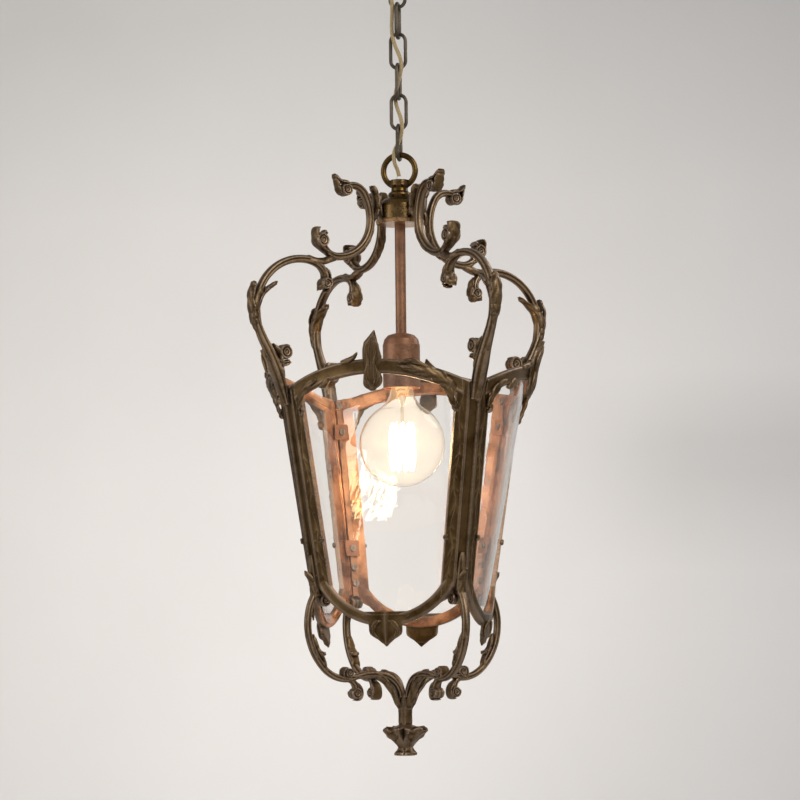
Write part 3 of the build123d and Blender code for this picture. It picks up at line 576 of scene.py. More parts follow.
nodeFinish = {
    "wire": ["ceiling_rose", "rose_loop"],
    "smoothCast": ["hanging_ring", "hub_drum"],
    "copper": ["stem_tube", "holder_cover", "glass_clips"],
    "brass": ["hub_flange", "terminal_barrels", "holder_shell", "holder_contact"],
    "steel": ["ceiling_bracket", "hub_nut", "stem_nut", "hub_screws", "clip_screws", "arm_screws"],
    "cap": ["bulb_cap"],
    "glass": ["glass_pane_" + k for k in sideAngles],
    "bulb": ["bulb_globe"],
    "mount": ["bulb_mount"],
    "ceramic": ["holder_body"],
    "plastic": ["terminal_block", "rose_bush"],
    "sleeve": ["neck_bush"],
    "flex": ["inner_flex"],
    "cast": ["bottom_boss"],
}
for key, names in nodeFinish.items():
    for name in names:
        mesh = frame["nodes"][name].data
        mesh.materials.clear()
        mesh.materials.append(finishes[key])
        mesh.polygons.foreach_set("material_index", np.zeros(len(mesh.polygons), np.int32))


# millimetres below the ceiling: from the rose through the links into the neck
flexRoute = [(-16, -4, -13), (-16, -4, -39), (-9.5, -6.6, -57), (-5.4, -4.9, -76), (-4.9, -5.1, -90),
             (-6.2, -4.9, -106), (-4.8, -5.1, -123.5), (4.8, -5, -145.2), (4.8, -5, -158.2), (-4.8, 5, -180),
             (-4.8, 5, -193), (4.8, -5, -214.6), (4.8, -5, -227.4), (0.2, -2.4, -238.4), (-4.8, -6.2, -249.4),
             (-4.8, -6.2, -261.4), (0, 0, -273.5), (0, 0, -285)]
flexSettings = {"diameter": 4.4, "round": 20, "halfBend": 6.0, "step": 0.7, "weavePerStep": 0.7}


def nurbsLine(name, points, resolution=24):
    # third-order NURBS through its end points and drawn towards the others, as the part's source has it
    curve = bpy.data.curves.new(name, "CURVE")
    curve.dimensions = "3D"
    spline = curve.splines.new("NURBS")
    spline.points.add(len(points) - 1)
    for point, place in zip(spline.points, points):
        point.co = (*(c * mm for c in place), 1)
    spline.order_u = 3
    spline.use_endpoint_u = True
    spline.resolution_u = resolution
    holder = bpy.data.objects.new(name, curve)
    bpy.context.scene.collection.objects.link(holder)
    bpy.context.view_layer.update()
    mesh = bpy.data.meshes.new_from_object(holder.evaluated_get(bpy.context.evaluated_depsgraph_get()))
    line = np.zeros(len(mesh.vertices) * 3)
    mesh.vertices.foreach_get("co", line)
    bpy.data.objects.remove(holder)
    bpy.data.meshes.remove(mesh)
    return line.reshape(-1, 3)


def flexTube(line, radius, m):
    # circle carried along the line, on a side axis square to it and to Y
    d = unit(np.gradient(line, axis=0))
    side = unit(np.cross(d, [0.0, 1.0, 0.0]))
    return roundWire(line, side, np.cross(side, d), radius, m)


def makeFlex(s):
    # one route in even steps, parted midway between joints into one stretch for each joint
    line = nurbsLine("flexLine", flexRoute)
    steps = np.linalg.norm(np.diff(line, axis=0), axis=1)
    along = np.concatenate([[0], np.cumsum(steps)])
    even = np.linspace(0, along[-1], int(along[-1] / (s["step"] * mm)))
    line = np.stack([np.interp(even, along, line[:, i]) for i in range(3)], -1)
    joints = {j["child"]: j for j in frame["joints"]}
    bodies = ["ceiling"] + [f"link_{k}" for k in range(1, 7)] + ["lantern"]
    levels = [joints[b]["pos_m"][2] for b in bodies[1:]]
    cuts = [line[0, 2] + 1] + [(a + b) / 2 for a, b in zip(levels, levels[1:])] + [line[-1, 2] - 1]
    diameter, half = s["diameter"] * mm, s["halfBend"] * mm
    for k, (upper, lower, level) in enumerate(zip(cuts, cuts[1:], levels)):
        keep = np.where((line[:, 2] <= upper) & (line[:, 2] >= lower))[0]
        keep = np.arange(keep[0], min(keep[-1] + 2, len(line)))
        own = line[keep]
        part = closedTube(flexTube(line, diameter / 2, s["round"])[keep])
        part["uv"] = part["uv"] * [1, len(own) * s["weavePerStep"]]
        part["verts"] = (part["verts"] - [0, 0, hubTop]) / mm
        obj = makePiece(f"flex_{k + 1}", [part], None, finishes["flex"], ["supply_flex"])
        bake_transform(obj)


makeFlex(flexSettings)


linkSettings = {"width": 21.0, "length": 43.0, "wire": 2.0, "seam": 0.16, "seamLength": 0.5,
                "stations": 200, "round": 20}


def makeLinks(s):
    # stadium line with the wire's circle carried round it; the wire necks in at a butt seam on one long side
    bend = s["width"] / 2 - s["wire"]
    straight = (s["length"] - s["width"]) / 2
    total = 4 * straight + 2 * math.pi * bend
    d = np.linspace(0, total, s["stations"], endpoint=False)
    corner = math.pi * bend
    onSides = [d < 2 * straight, d < 2 * straight + corner, d < 4 * straight + corner]
    over, under = (d - 2 * straight) / bend, (d - 4 * straight - corner) / bend
    x = np.select(onSides, [bend + 0 * d, bend * np.cos(over), -bend + 0 * d], -bend * np.cos(under))
    z = np.select(onSides, [d - straight, straight + bend * np.sin(over), 3 * straight + corner - d],
                  -straight - bend * np.sin(under))
    centre = np.stack([x, 0 * d, z], -1)
    step = unit(np.roll(centre, -1, 0) - np.roll(centre, 1, 0))
    out = np.stack([step[:, 2], 0 * d, -step[:, 0]], -1)
    neck = 1 - s["seam"] * np.exp(-(((d - straight) / s["seamLength"]) ** 2))
    radius = s["wire"] * neck[:, None, None]
    points = roundWire(centre, out, np.broadcast_to([0.0, 1.0, 0.0], out.shape), radius, s["round"])
    for k in range(1, 7):
        low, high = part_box(f"chain_link_{k}")
        part = turnZ(closedTube(points, loop=True), 0 if high.x - low.x > high.y - low.y else 90)
        middle = ((low.z + high.z) / 2 - hubTop) / mm
        part["verts"] = part["verts"] + [0, 0, middle]
        makePiece(f"link_{k}_wire", [part], f"link_{k}", finishes["wire"], [f"chain_link_{k}"])


makeLinks(linkSettings)
print("chain made")


crownSettings = {"width": 10.0, "depth": 8.6}


def makeCasts(title, parts, angles, node, sharp=38.0):
    # the same casting once for each angle, in place of its own CAD node
    for key, angle in angles.items():
        turned = [turnZ(p, angle) for p in parts]
        makePiece(title + key, turned, "lantern", finishes["cast"], [node + key], sharp)


def tapered(n, first, last, ends, middle):
    # full width between the two rolled ends, easing to the end widths over each roll
    i = np.arange(n)
    return np.interp(i, [0, max(first, 1) * 0.75, first + 16, last - 16, last + (n - last) * 0.25, n - 1],
                     [ends[0], ends[0], middle, middle, ends[1], ends[1]])


def rolledBar(start, heading, head, turns, tail, width, depth, rollWidths, rollDepth):
    # a reeded bar on a scroll line, as wide as rollWidths and as deep as rollDepth where its two ends roll in
    path, first, last = scrollPath(start, heading, head, turns, tail)
    n = len(path)
    w = tapered(n, first, last, rollWidths, width)
    d = tapered(n, first, last, (rollDepth, rollDepth), depth)
    return reededBar(path, w, d), path


def alongPath(path, start, end, offset, lift, count=46):
    # part of a line, moved sideways by offset plus lift that grows towards its end
    n = len(path)
    i = np.linspace(start * (n - 1), end * (n - 1), count)
    p = np.stack([np.interp(i, np.arange(n), path[:, k]) for k in range(2)], -1)
    d = unit(np.gradient(p, axis=0))
    u = np.linspace(0, 1, count)[:, None]
    normal = np.stack([-d[:, 1], d[:, 0]], -1)
    return p + normal * (offset + lift * u**3)


def crownArm(s):
    # in the scroll plane: a C-scroll of tangent arcs from the drum, a long shoulder scroll under it, a root bar
    # down over the post, a rolled end on each scroll, and leaves over the bars
    w, d = s["width"], s["depth"]
    upper, upperPath = rolledBar((72, 7.5), 155, [(7.5, -60)], [(25, 25), (17.2, 60), (56.8, 30), (44, 90), (20, 80)],
                                 [(9, 70)], w, d, (12.0, 14.0), 6.5)
    lower, _ = rolledBar((98, -98), 90, [(8.5, 55)], [(20, -70), (46, -20), (58.5, -90), (75, -47)], [(12, -80)],
                         w, d, (12.5, 13.0), 6.5)
    root = smoothPath([(191, -118), (188, -140), (179.5, -162), (169, -182), (161, -200), (155, -218),
                       (149.6, -238)], 90)
    rootBar = reededBar(root, flat([8, 10, 10.5, 13, 16, 16.5, 12], 90), flat([5, 8.6, 9.4, 12, 14, 11, 3.6], 90),
                        groove=0.10)
    rolls = [rollEnd(71.2, 4.0, 7.0, 14.5, 60), rollEnd(103.5, -54.5, 8.0, 16.5, 100),
             rollEnd(99.0, -102.5, 6.8, 14.5, 200), rollEnd(151.0, -180.5, 8.2, 14.5, 120)]
    return [upper, lower, rootBar] + rolls + leafRows(planeLeaf, [
        # spur leaf over the top volute, blunt and turned up
        ([(64, 9), (70, 12.5), (77, 13.5), (82.5, 16.5), (85.5, 21)],
         [4, 6.5, 7, 6.5, 4.5], 4.4, dict(lobes=2, notch=0.16, cup=0.8)),
        ([(77.5, -2), (80.5, 4), (82, 10), (85, 17)], [5, 6.8, 6.5, 4], 3.6, dict(lobes=2, notch=0.16)),
        # pad that meets the drum, with a short leaf lying against it
        ([(25.5, -22), (27, -17), (28, -10), (28, -4), (26.5, 2)],
         [4.5, 5.5, 5.5, 5.5, 4.5], 5.0, dict(lobes=0, vein=0.2)),
        ([(36, -30), (33, -21), (31, -11), (32, -1), (35, 7), (39, 10)],
         [2, 6, 7, 6.6, 5.5, 3.5], 6.0, dict(lobes=3, notch=0.2, cup=1.2, flip=-1)),
        # leaf along the outside of the C-scroll's lower bend
        (alongPath(upperPath, 0.36, 0.60, -d / 2 + 0.2, -1.6),
         [1, 4.5, 5.5, 5, 4, 2], 2.2, dict(lobes=4, notch=0.22, cup=1.4, flip=-1)),
        # rolled leaf at the C-scroll's lower end, squared off above
        ([(86, -68), (96, -67.5), (106, -61), (110.5, -52), (110, -43), (107.5, -40)],
         [3, 6.5, 8, 8.6, 8.6, 8], 4.4, dict(lobes=3, notch=0.12, cup=0.5, flip=-1)),
        # knuckle where the two scrolls are cast together
        ([(82, -71), (92, -74.5), (101, -77.5), (112, -77.5), (126, -73)],
         [3, 6, 6.6, 6, 3], 8.0, dict(lobes=2, notch=0.12, cup=1.2)),
        # leaf over the shoulder scroll's start, its tongue drooping past the roll
        ([(122, -79), (112, -80), (104, -85), (100, -94), (104, -103), (107, -110)],
         [2, 5, 6.5, 7.4, 7.4, 5.5], 4.0, dict(lobes=4, notch=0.16, cup=1.0)),
        ([(97, -84), (93.5, -92), (92.5, -101), (95, -109), (99, -112)],
         [3, 6, 7.2, 7, 5], 3.6, dict(lobes=3, notch=0.16, cup=0.8, flip=-1)),
        # acanthus round the shoulder: an outer and an inner blade hug the bar, tips turned out
        ([(184, -164), (189.5, -148), (193.3, -132), (193.4, -118), (190, -108), (188, -104)],
         [2, 6, 7.4, 7.4, 6, 2.4], 4.0, dict(lobes=4, notch=0.26, cup=2.2, flip=-1, vein=0.8)),
        ([(181, -152), (183, -138), (180.5, -125), (172.5, -114), (163.5, -107.5), (158.5, -104)],
         [2, 5, 6.6, 6.6, 5, 2.2], 3.6, dict(lobes=4, notch=0.26, cup=2.0, vein=0.8)),
        ([(186, -156), (188.2, -142), (187.2, -128), (182, -116), (175, -109.5)],
         [3, 6.4, 7.0, 6.2, 3], 10.0, dict(lobes=3, notch=0.16, cup=0.5, vein=0.6)),
        # leaves over the root of the arm
        ([(166, -172), (159, -180), (156.5, -190), (156, -201), (153.5, -212)],
         [3, 6, 7, 7.2, 5], 5.0, dict(lobes=3, notch=0.12, cup=1.0)),
        ([(152.5, -240), (157.4, -222), (163, -206), (169.5, -192), (177.5, -177)],
         [2, 6.2, 7.4, 6.6, 2.4], 2.8, dict(lobes=4, notch=0.2, cup=1.6, flip=-1, vein=0.8)),
    ])


makeCasts("crown_scroll_", crownArm(crownSettings), cornerAngles, "crown_arm_")
print("crown arms made")


lowerSettings = {"width": 9.0, "depth": 7.4}


def lowerArm(s):
    # in the scroll plane: a C-scroll of tangent arcs under the foot, an arch from it in to the centre, the foot
    # bar against the post, rolled ends, and leaves over the bars
    w, d = s["width"], s["depth"]
    outer, _ = rolledBar((112, -438), 305, [], [(66, -35), (68, -45), (41, -45), (11, 95)], [], w, d, (w, 11.0), 6.0)
    inner, _ = rolledBar((73, -533), 205, [(6.0, 50)], [(14, -40), (80, 25), (27, 75)], [], w, d, (10.5, w), 5.5)
    foot = smoothPath([(119.6, -401), (118.6, -410), (116.5, -424), (114.5, -436), (113, -446)], 50)
    footBar = reededBar(foot, flat([5, 9, 11, 11.5, 9], 50), flat([1.6, 5.0, 6.6, 8.0, 8.0], 50))
    rolls = [rollEnd(64.5, -551.5, 6.4, 12.5, 20), rollEnd(74.0, -529.5, 5.4, 12.0, 200),
             rollEnd(103.5, -450.5, 6.6, 12.5, 90)]
    return [outer, inner, footBar] + rolls + leafRows(planeLeaf, [
        # spur above the foot, leaves down its face and over its inner side
        ([(113, -443), (117.5, -434), (121, -426), (127.5, -418.5)],
         [5, 6.2, 5.2, 1.6], 5.0, dict(lobes=2, notch=0.14, cup=0.8, flip=-1)),
        ([(117.5, -472), (119, -456), (118.4, -442), (119.5, -430), (121, -421)],
         [1, 4.5, 5.8, 5.0, 2], 2.4, dict(lobes=4, notch=0.2, cup=1.4, flip=-1, vein=0.7)),
        ([(116, -446), (110, -444.5), (104, -445), (99, -449)],
         [4.4, 5, 5.6, 5.6], 4.4, dict(lobes=0, cup=0.6)),
        # leaf nub on the inside of the C-scroll and a wrap on the outside
        ([(118, -487), (114.5, -499), (111, -506), (105.5, -508.5), (103, -507)],
         [2, 4.6, 5.4, 5.2, 4.4], 5.0, dict(lobes=3, notch=0.2, cup=1.0)),
        ([(119.5, -494), (111.5, -506), (105.5, -516), (104, -525), (99, -531)],
         [2, 4.8, 5.4, 5.0, 3], 3.6, dict(lobes=4, notch=0.2, cup=1.2)),
        ([(127.3, -470), (126.6, -484), (121.8, -500), (114, -514), (105, -524)],
         [1.5, 4, 5, 4.6, 2], 2.2, dict(lobes=4, notch=0.2, cup=1.6)),
        # leaf over the junction of the two bars
        ([(88, -534), (79, -536), (70, -537.5), (60, -533.5), (50, -530)],
         [3, 5.2, 6.2, 5, 2], 4.0, dict(lobes=3, notch=0.16, cup=1.4)),
        ([(78, -538), (80.5, -532), (79.5, -526), (75.5, -523.5)],
         [4.5, 5.8, 6.2, 6], 3.6, dict(lobes=2, notch=0.12, cup=0.4)),
        ([(69, -538), (61.5, -543), (58, -550), (60, -557), (65, -559)],
         [4, 5.8, 6.3, 6.3, 6], 3.6, dict(lobes=2, notch=0.12, cup=0.4)),
        # long leaf down the arch to the boss
        ([(48, -526), (36, -529), (26, -536), (17, -547.5), (10.5, -560)],
         [1.5, 4.8, 5.8, 5.4, 4.4], 2.8, dict(lobes=4, notch=0.22, cup=1.5, flip=-1, vein=0.7)),
        ([(40, -534), (30, -538), (22, -545), (14, -556), (8, -570)],
         [1.5, 4.0, 4.8, 4.8, 4], 4.4, dict(lobes=3, notch=0.16, cup=1.0)),
        # stalk down the boss
        ([(5.6, -556), (6.0, -566), (5.7, -577), (6.0, -588)],
         [4.0, 4.3, 4.1, 4.2], 3.6, dict(lobes=0, vein=0.4, flip=-1)),
    ])


makeCasts("lower_scroll_", lowerArm(lowerSettings), cornerAngles, "lower_arm_")
print("lower arms made")


bodySettings = {"levels": (-200.0, -420.0), "corner": (152.0, 116.0), "middle": (146.0, 104.0), "chamfer": 17.0,
                "stile": 13.0, "thick": 7.0, "groove": (9.0, 2.0), "rib": 7.0, "ribDepth": 11.4, "postTop": -206.0,
                "leafPitch": 15.0, "stemPitch": 58.0}
railSettings = {"topRadius": 224.0, "topCrown": -195.5, "underRadius": 196.0, "underCrown": -208.5}
sillSettings = {"radius": 75.0, "bottom": -467.5, "depth": 12.0, "reach": 69.0}
sillCentre = sillSettings["bottom"] + sillSettings["radius"]


def levelled(z, pair):
    # straight line through the pair's values at the two levels
    high, low = bodySettings["levels"]
    return pair[0] + (pair[1] - pair[0]) * (z - high) / (low - high)


def sideArc(z):
    # plan arc through the two chamfer edges and the bulged middle: radius, centre distance, half angle
    half = bodySettings["chamfer"] / 2
    corner, middle = levelled(z, bodySettings["corner"]), levelled(z, bodySettings["middle"])
    chord = (corner - half) / math.sqrt(2)
    rise = middle - (corner + half) / math.sqrt(2)
    radius = (chord**2 + rise**2) / (2 * rise)
    return radius, middle - radius, np.arcsin(chord / radius)


def onSide(s, z, offset):
    # point of the front side at sideways s and level z, offset outward from the bulged face
    radius, centre, _ = sideArc(z)
    angle = np.arcsin(np.clip(s / radius, -1, 1))
    reach = radius + offset
    return np.stack([reach * np.sin(angle), -(centre + reach * np.cos(angle)), z + 0 * s], -1)


def archAt(s, crown, radius):
    # height of an arc at sideways s: crown - radius + root of (radius squared less s squared)
    return crown - radius + np.sqrt(radius**2 - s**2)


def stileEdge(z):
    # sideways place of a stile's inner edge: the chamfer's edge less the stile's width along the face
    edges = []
    for level, corner in zip(bodySettings["levels"], bodySettings["corner"]):
        face = bodySettings["stile"] * math.cos(sideArc(level)[2])
        edges.append((corner - bodySettings["chamfer"] / 2) / math.sqrt(2) - face)
    return levelled(z, edges)


def sillUnder(x):
    # lower edge of the bottom rail: centre less the root of (outer radius squared less x squared)
    return sillCentre - np.sqrt(np.maximum((sillSettings["radius"] + sillSettings["depth"]) ** 2 - x**2, 1))


def onPost(angle, radius, centre):
    # point of the side's plan arc turned by 45 degrees, so that the corner lies on +X
    x, y = radius * np.sin(angle), centre + radius * np.cos(angle)
    return (x + y) / math.sqrt(2), (y - x) / math.sqrt(2)


def mirrored(half, sign=1):
    # half an outline, then its mirror image backwards
    return np.concatenate([half, sign * half[:, ::-1]], 1)


def cornerPost(b):
    # plan outline of a post on +X, carried down the slope: grooved chamfer, carved stile faces, flat back with a rib
    n = 240
    v = np.linspace(0, 1, n)[:, None]
    root2 = math.sqrt(2)
    bottom = float(sillUnder((b["corner"][1] - b["chamfer"] / 2) / root2))
    z = b["postTop"] + (bottom - b["postTop"]) * v
    corner = levelled(z, b["corner"])
    radius, centre, half = sideArc(z)
    width = b["stile"] / radius
    # stile columns: angle back from the chamfer edge, with overlapping leaves that climb a wandering stem
    f = np.linspace(0, 1, 18)[None, :]
    phase = (z - b["postTop"]) * 2 * math.pi / b["stemPitch"]
    stem = 0.5 + 0.15 * np.sin(phase + 0.7 * np.sin(0.41 * phase))
    away = np.abs(f - stem)
    climb = (z - b["postTop"]) / b["leafPitch"] + 1.5 * away + 0.35 * np.sin(0.63 * phase)
    blade = (1 - (climb % 1.0)) ** 1.6 * np.exp(-((away / 0.30) ** 2)) * (0.72 + 0.28 * np.sin(2.3 * phase + 6 * f))
    edges = np.exp(-((f / 0.08) ** 2)) + np.exp(-(((1 - f) / 0.08) ** 2))
    carved = 0.9 * np.maximum(np.maximum(blade, 0.7 * np.exp(-((away / 0.07) ** 2))), 0.8 * edges) - 0.6
    carved = carved * np.clip(np.minimum(v, 1 - v) * 30, 0, 1)
    # relief values: painted shade where the carving sinks
    shade = np.clip(0.3 + (carved + 0.6) / 1.3, 0, 1)
    a = half - f * width
    face = onPost(a, radius + carved, centre)
    inner = onPost(a[:, ::-1], radius - b["thick"], centre)
    g = np.array([[1.0, 0.86, 0.74, 0.55, 0.46, 0.28, 0.12]])
    grooveHalf = b["groove"][0] / b["chamfer"]
    sink = np.clip((grooveHalf + 0.08 - g) / 0.14, 0, 1) * b["groove"][1]
    bead = 0.5 * np.exp(-(((g - 0.78) / 0.12) ** 2))
    chamfer = (corner - sink + bead, g * b["chamfer"] / 2 + 0 * z)
    r = np.array([[1.0, 0.9, 0.5]])
    ribStep = np.array([[0.0, 1.0, 1.0]])
    rib = (corner - b["thick"] - 0.6 - ribStep * (b["ribDepth"] - b["thick"] - 1), r * b["rib"] / 2 + 0 * z)
    reach = mirrored(np.concatenate([chamfer[0][:, ::-1], face[0], inner[0], rib[0]], 1))
    aside = mirrored(np.concatenate([chamfer[1][:, ::-1], face[1], inner[1], rib[1]], 1), -1)
    # painted shade down the chamfer's groove
    grooveShade = np.ones((n, 1)) * (0.42 + 0.45 * (g[:, ::-1] > 0.6))
    behind = f.shape[1] + r.shape[1]
    shade = mirrored(np.concatenate([grooveShade, shade, np.full((n, behind), 0.8)], 1))
    # the back faces are marked to be painted with the bulb's warm light
    bulbLitFaces = mirrored(np.concatenate([np.zeros((n, g.shape[1] + f.shape[1])), np.ones((n, behind))], 1))
    # stile columns run from the rail's upper edge to the lower edge of the bottom rail
    sideways, sillReach = np.abs(reach - np.abs(aside)) / root2, 76.0
    low = np.where(sideways < sillReach + 0.2, sillUnder(np.minimum(sideways, sillReach)), bottom)
    topSide = (levelled(b["postTop"], b["corner"]) - b["chamfer"] / 2) / root2
    high = archAt(np.minimum(sideways[:1], topSide), railSettings["topCrown"], railSettings["topRadius"])
    level = high + (low[-1:] - high) * v
    lean = levelled(level, b["corner"]) - corner
    parts = [closedTube(np.stack([reach + lean, aside, level], -1), shade, bulbLitFaces=bulbLitFaces)]
    # small leaves at the inner edges and nubs on the stiles, facing 40 degrees off the corner
    facing = math.radians(40)
    for side in (1, -1):
        for level, size in ((-246.0, 1.0), (-385.0, 0.6)):
            t = np.linspace(0, 1, 30)
            bow = np.sin(t * math.pi)
            x, y, z = onSide(stileEdge(level) + 1.5 - 4.0 * size * bow, level + 11 * size * (0.5 - t), 0.5).T
            place = np.stack([(x - y) / root2, side * (x + y) / root2, z], -1)
            out = np.broadcast_to([math.cos(facing), side * math.sin(facing), 0], place.shape)
            across = unit(np.cross(out, np.gradient(place, axis=0)))
            half = 3.6 * size * bow**0.6 + 0.3
            parts.append(leaf(place, across, out, half, half, 4.0, lobes=2, notch=0.3, vein=0.4, m=20))
    return parts


makeCasts("carved_post_", cornerPost(bodySettings), cornerAngles, "corner_post_", 30)
print("posts made")


def sideLeaf(points, left, right, thick, count=50, **more):
    # a leaf whose midrib follows (sideways, level, outward) points on the front side
    p = smoothPath(points, count)
    centre = onSide(p[:, 0], p[:, 1], p[:, 2])
    radius, _, _ = sideArc(p[:, 1])
    angle = np.arcsin(p[:, 0] / radius)
    out = np.stack([np.sin(angle), -np.cos(angle), 0 * angle], -1)
    d = unit(np.gradient(centre, axis=0))
    across = unit(np.cross(d, out))
    return leaf(centre, across, np.cross(across, d), flat(left, count), flat(right, count), thick, **more)


def twice(widths):
    # the same half widths on the left and on the right
    return widths, widths


def topRail(b, r):
    # a flat bar between two arches on the bulged face: middle + half height up, its front reeded by a cosine with
    # a hollow along the middle, and leaves over it
    u = np.linspace(-1, 1, 150)[:, None]
    across, up = ring(40, 0.42)
    s = u * (float(stileEdge(-222.0)) + 5.0)
    upper, lower = archAt(s, r["topCrown"], r["topRadius"]), archAt(s, r["underCrown"], r["underRadius"])
    mid, half = (upper + lower) / 2 - 0.4, (upper - lower) / 2 + 1.3
    front = np.clip(across * 3, 0, 1)[None, :]
    reed = np.cos(up * 2.6 * math.pi)[None, :]
    hollow = np.exp(-((up / 0.16) ** 2))[None, :]
    z = mid + half * up[None, :]
    offset = b["thick"] / 2 * (across[None, :] - 1) + front * (0.45 * reed - 0.5 * hollow + 0.9)
    # relief values: painted shade in the middle hollow, painted highlight on the reeds; back faces marked for the
    # bulb's painted warm light
    shade = np.clip(0.72 + 0.2 * reed - 0.35 * hollow, 0, 1) + 0 * z
    bar = closedTube(onSide(s + 0 * z, z, offset), shade, bulbLitFaces=np.clip(-3 * across, 0, 1)[None, :])
    blades = [([(side * 1.2, -225, 5.0), (side * reach, -214, 6.4), (side * 3.2 + 1, -200, 6.4),
                (side * reach + 2, -186, 7.2), (side * 1.5 + 4.6, -172, 9.4)],
               *twice([0.8, 3.2, 3.0, 2.2, 3.2, 3.0, 0.6]), 3.0, dict(lobes=0, cup=0.6, vein=0.6, count=60))
              for side, reach in ((-1, 4.5), (1, 5.5))]
    return [bar] + leafRows(sideLeaf, [
        # crest over the middle: a four-pointed leaf, waisted at the bar, its tip curling outward
        ([(0, -229, 2), (0, -222, 3.4), (0, -210, 4), (0.5, -199, 4), (2.5, -184, 5), (6, -166.5, 9)],
         [3.5, 7.6, 9.4, 9.8, 9.2, 8.6, 8.4, 8.8, 9.8, 10.4, 10.8, 10.0, 5.0, 0.6],
         [3.0, 6.0, 9.5, 11.6, 11.8, 10.2, 8.6, 8.6, 10.6, 11.2, 8.6, 6.0, 3.4, 0.6],
         5.0, dict(lobes=0, cup=2.4, vein=1.1, count=90)),
        # small tip above the left shoulder and the gusset under it
        *blades,
        ([(-34, -199, 0), (-26, -197, 1), (-19, -193.5, 1.5), (-14.5, -188, 2)],
         [3.5, 4, 3, 0.8], [1.5, 2.5, 2, 0.8], 6.0, dict(lobes=0)),
        ([(-47, -211, 0), (-52, -216, 0.8), (-56, -220.5, 0.8), (-62, -222, 0)],
         [2, 4, 4, 1], [2, 4, 4, 1], 5.0, dict(lobes=2)),
        # acanthus wrap at the right end, a twin scroll over and under the bar
        ([(28, -203, 2), (42, -206, 3.4), (58, -210, 4.2), (72, -217, 4.2), (86, -228, 3)],
         [1, 6, 8, 8.5, 6], [1, 5, 7.5, 8, 6], 4.2, dict(lobes=5, notch=0.3, cup=1.6, vein=0.8, count=80)),
        ([(30, -199.5, 1), (40, -197.5, 3), (47, -199, 4), (56, -204, 3.6), (66, -211, 2)],
         [1, 2.6, 3, 2.6, 0.8], [1, 2.6, 3, 2.6, 0.8], 3.6, dict(lobes=3, notch=0.25, vein=0.5)),
        ([(62, -217, 2), (72, -222, 3), (79, -231, 3.4), (81, -240, 2.4), (85, -249, 1)],
         [1, 4, 5, 4, 1], [1, 4, 5, 4, 1], 3.8, dict(lobes=3, notch=0.3, vein=0.6)),
        # plainer wrap at the left end
        ([(-64, -214, 1), (-74, -219, 2.4), (-82, -227, 3), (-86, -238, 2), (-88, -247, 1)],
         [1, 4, 5, 4, 1], [1, 4, 5, 4, 1], 3.8, dict(lobes=3, notch=0.3, vein=0.6)),
    ])


def bottomRail(b, r):
    # U-shaped band on the bulged face: two lips with a hollow between, thinned where it tucks behind the posts,
    # and the pendant, a broad apron with a rounded shoulder each side and a short pointed lobe under it
    radiusMid = r["radius"] + r["depth"] / 2
    limit = math.radians(r["reach"])
    a = np.linspace(-limit, limit, 150)[:, None]
    across, up = ring(40, 0.42)
    front = np.clip(across * 3, 0, 1)[None, :]
    hollow = np.exp(-(((up + 0.1) / 0.4) ** 2))[None, :]
    tuck = np.clip((np.abs(a) / limit - 0.82) / 0.1, 0, 1)
    radius = radiusMid + r["depth"] / 2 * up[None, :]
    s, z = radius * np.sin(a), sillCentre - radius * np.cos(a)
    offset = -b["thick"] / 2 + (b["thick"] / 2 - 0.6 * tuck) * across[None, :]
    offset = offset + front * (0.9 - 1.3 * hollow) * (1 - tuck)
    # relief values: painted shade in the hollow between the lips; back faces marked for the bulb's painted warm light
    shade = np.clip(1 - 0.55 * hollow, 0, 1) + 0 * z
    band = closedTube(onSide(s, z, offset), shade, bulbLitFaces=np.clip(-3 * across, 0, 1)[None, :])
    low = r["bottom"] - r["depth"]
    apron = ([(0, low + 16, -3), (0, low + 8, -1.6), (0, low - 2, -0.4), (0, low - 12, -0.6), (0, low - 21.5, -1.5)],
             *twice([26, 29, 28, 25, 22, 20, 19, 18.6, 18.6, 18.4, 17.4, 14, 9.5, 6.5, 3.5, 0.8]),
             6.4, dict(lobes=0, cup=0.8, vein=0.3, count=80, m=44))
    curls = [([(side * 4, low + 6, 2.0), (side * 9, low + 4, 2.8), (side * 13, low - 2, 2.8),
               (side * 13, low - 8, 2.4), (side * 7.5, low - 13, 1.8)],
              *twice([1, 2.4, 3, 2.6, 1]), 3.4, dict(lobes=0, vein=0.5))
             for side in (1, -1)]
    return [band] + leafRows(sideLeaf, [apron] + curls)


upperRail, lowerRail = topRail(bodySettings, railSettings), bottomRail(bodySettings, sillSettings)
for key, angle in sideAngles.items():
    makeCasts("arched_rail_", upperRail, {key: angle}, "top_rail_")
    makeCasts("hanging_rail_", lowerRail, {key: angle}, "bottom_rail_")
print("rails made")


finialSettings = {"cup": (-596, 8.0), "flare": (-618, 5.0), "teeth": 10, "round": 160}


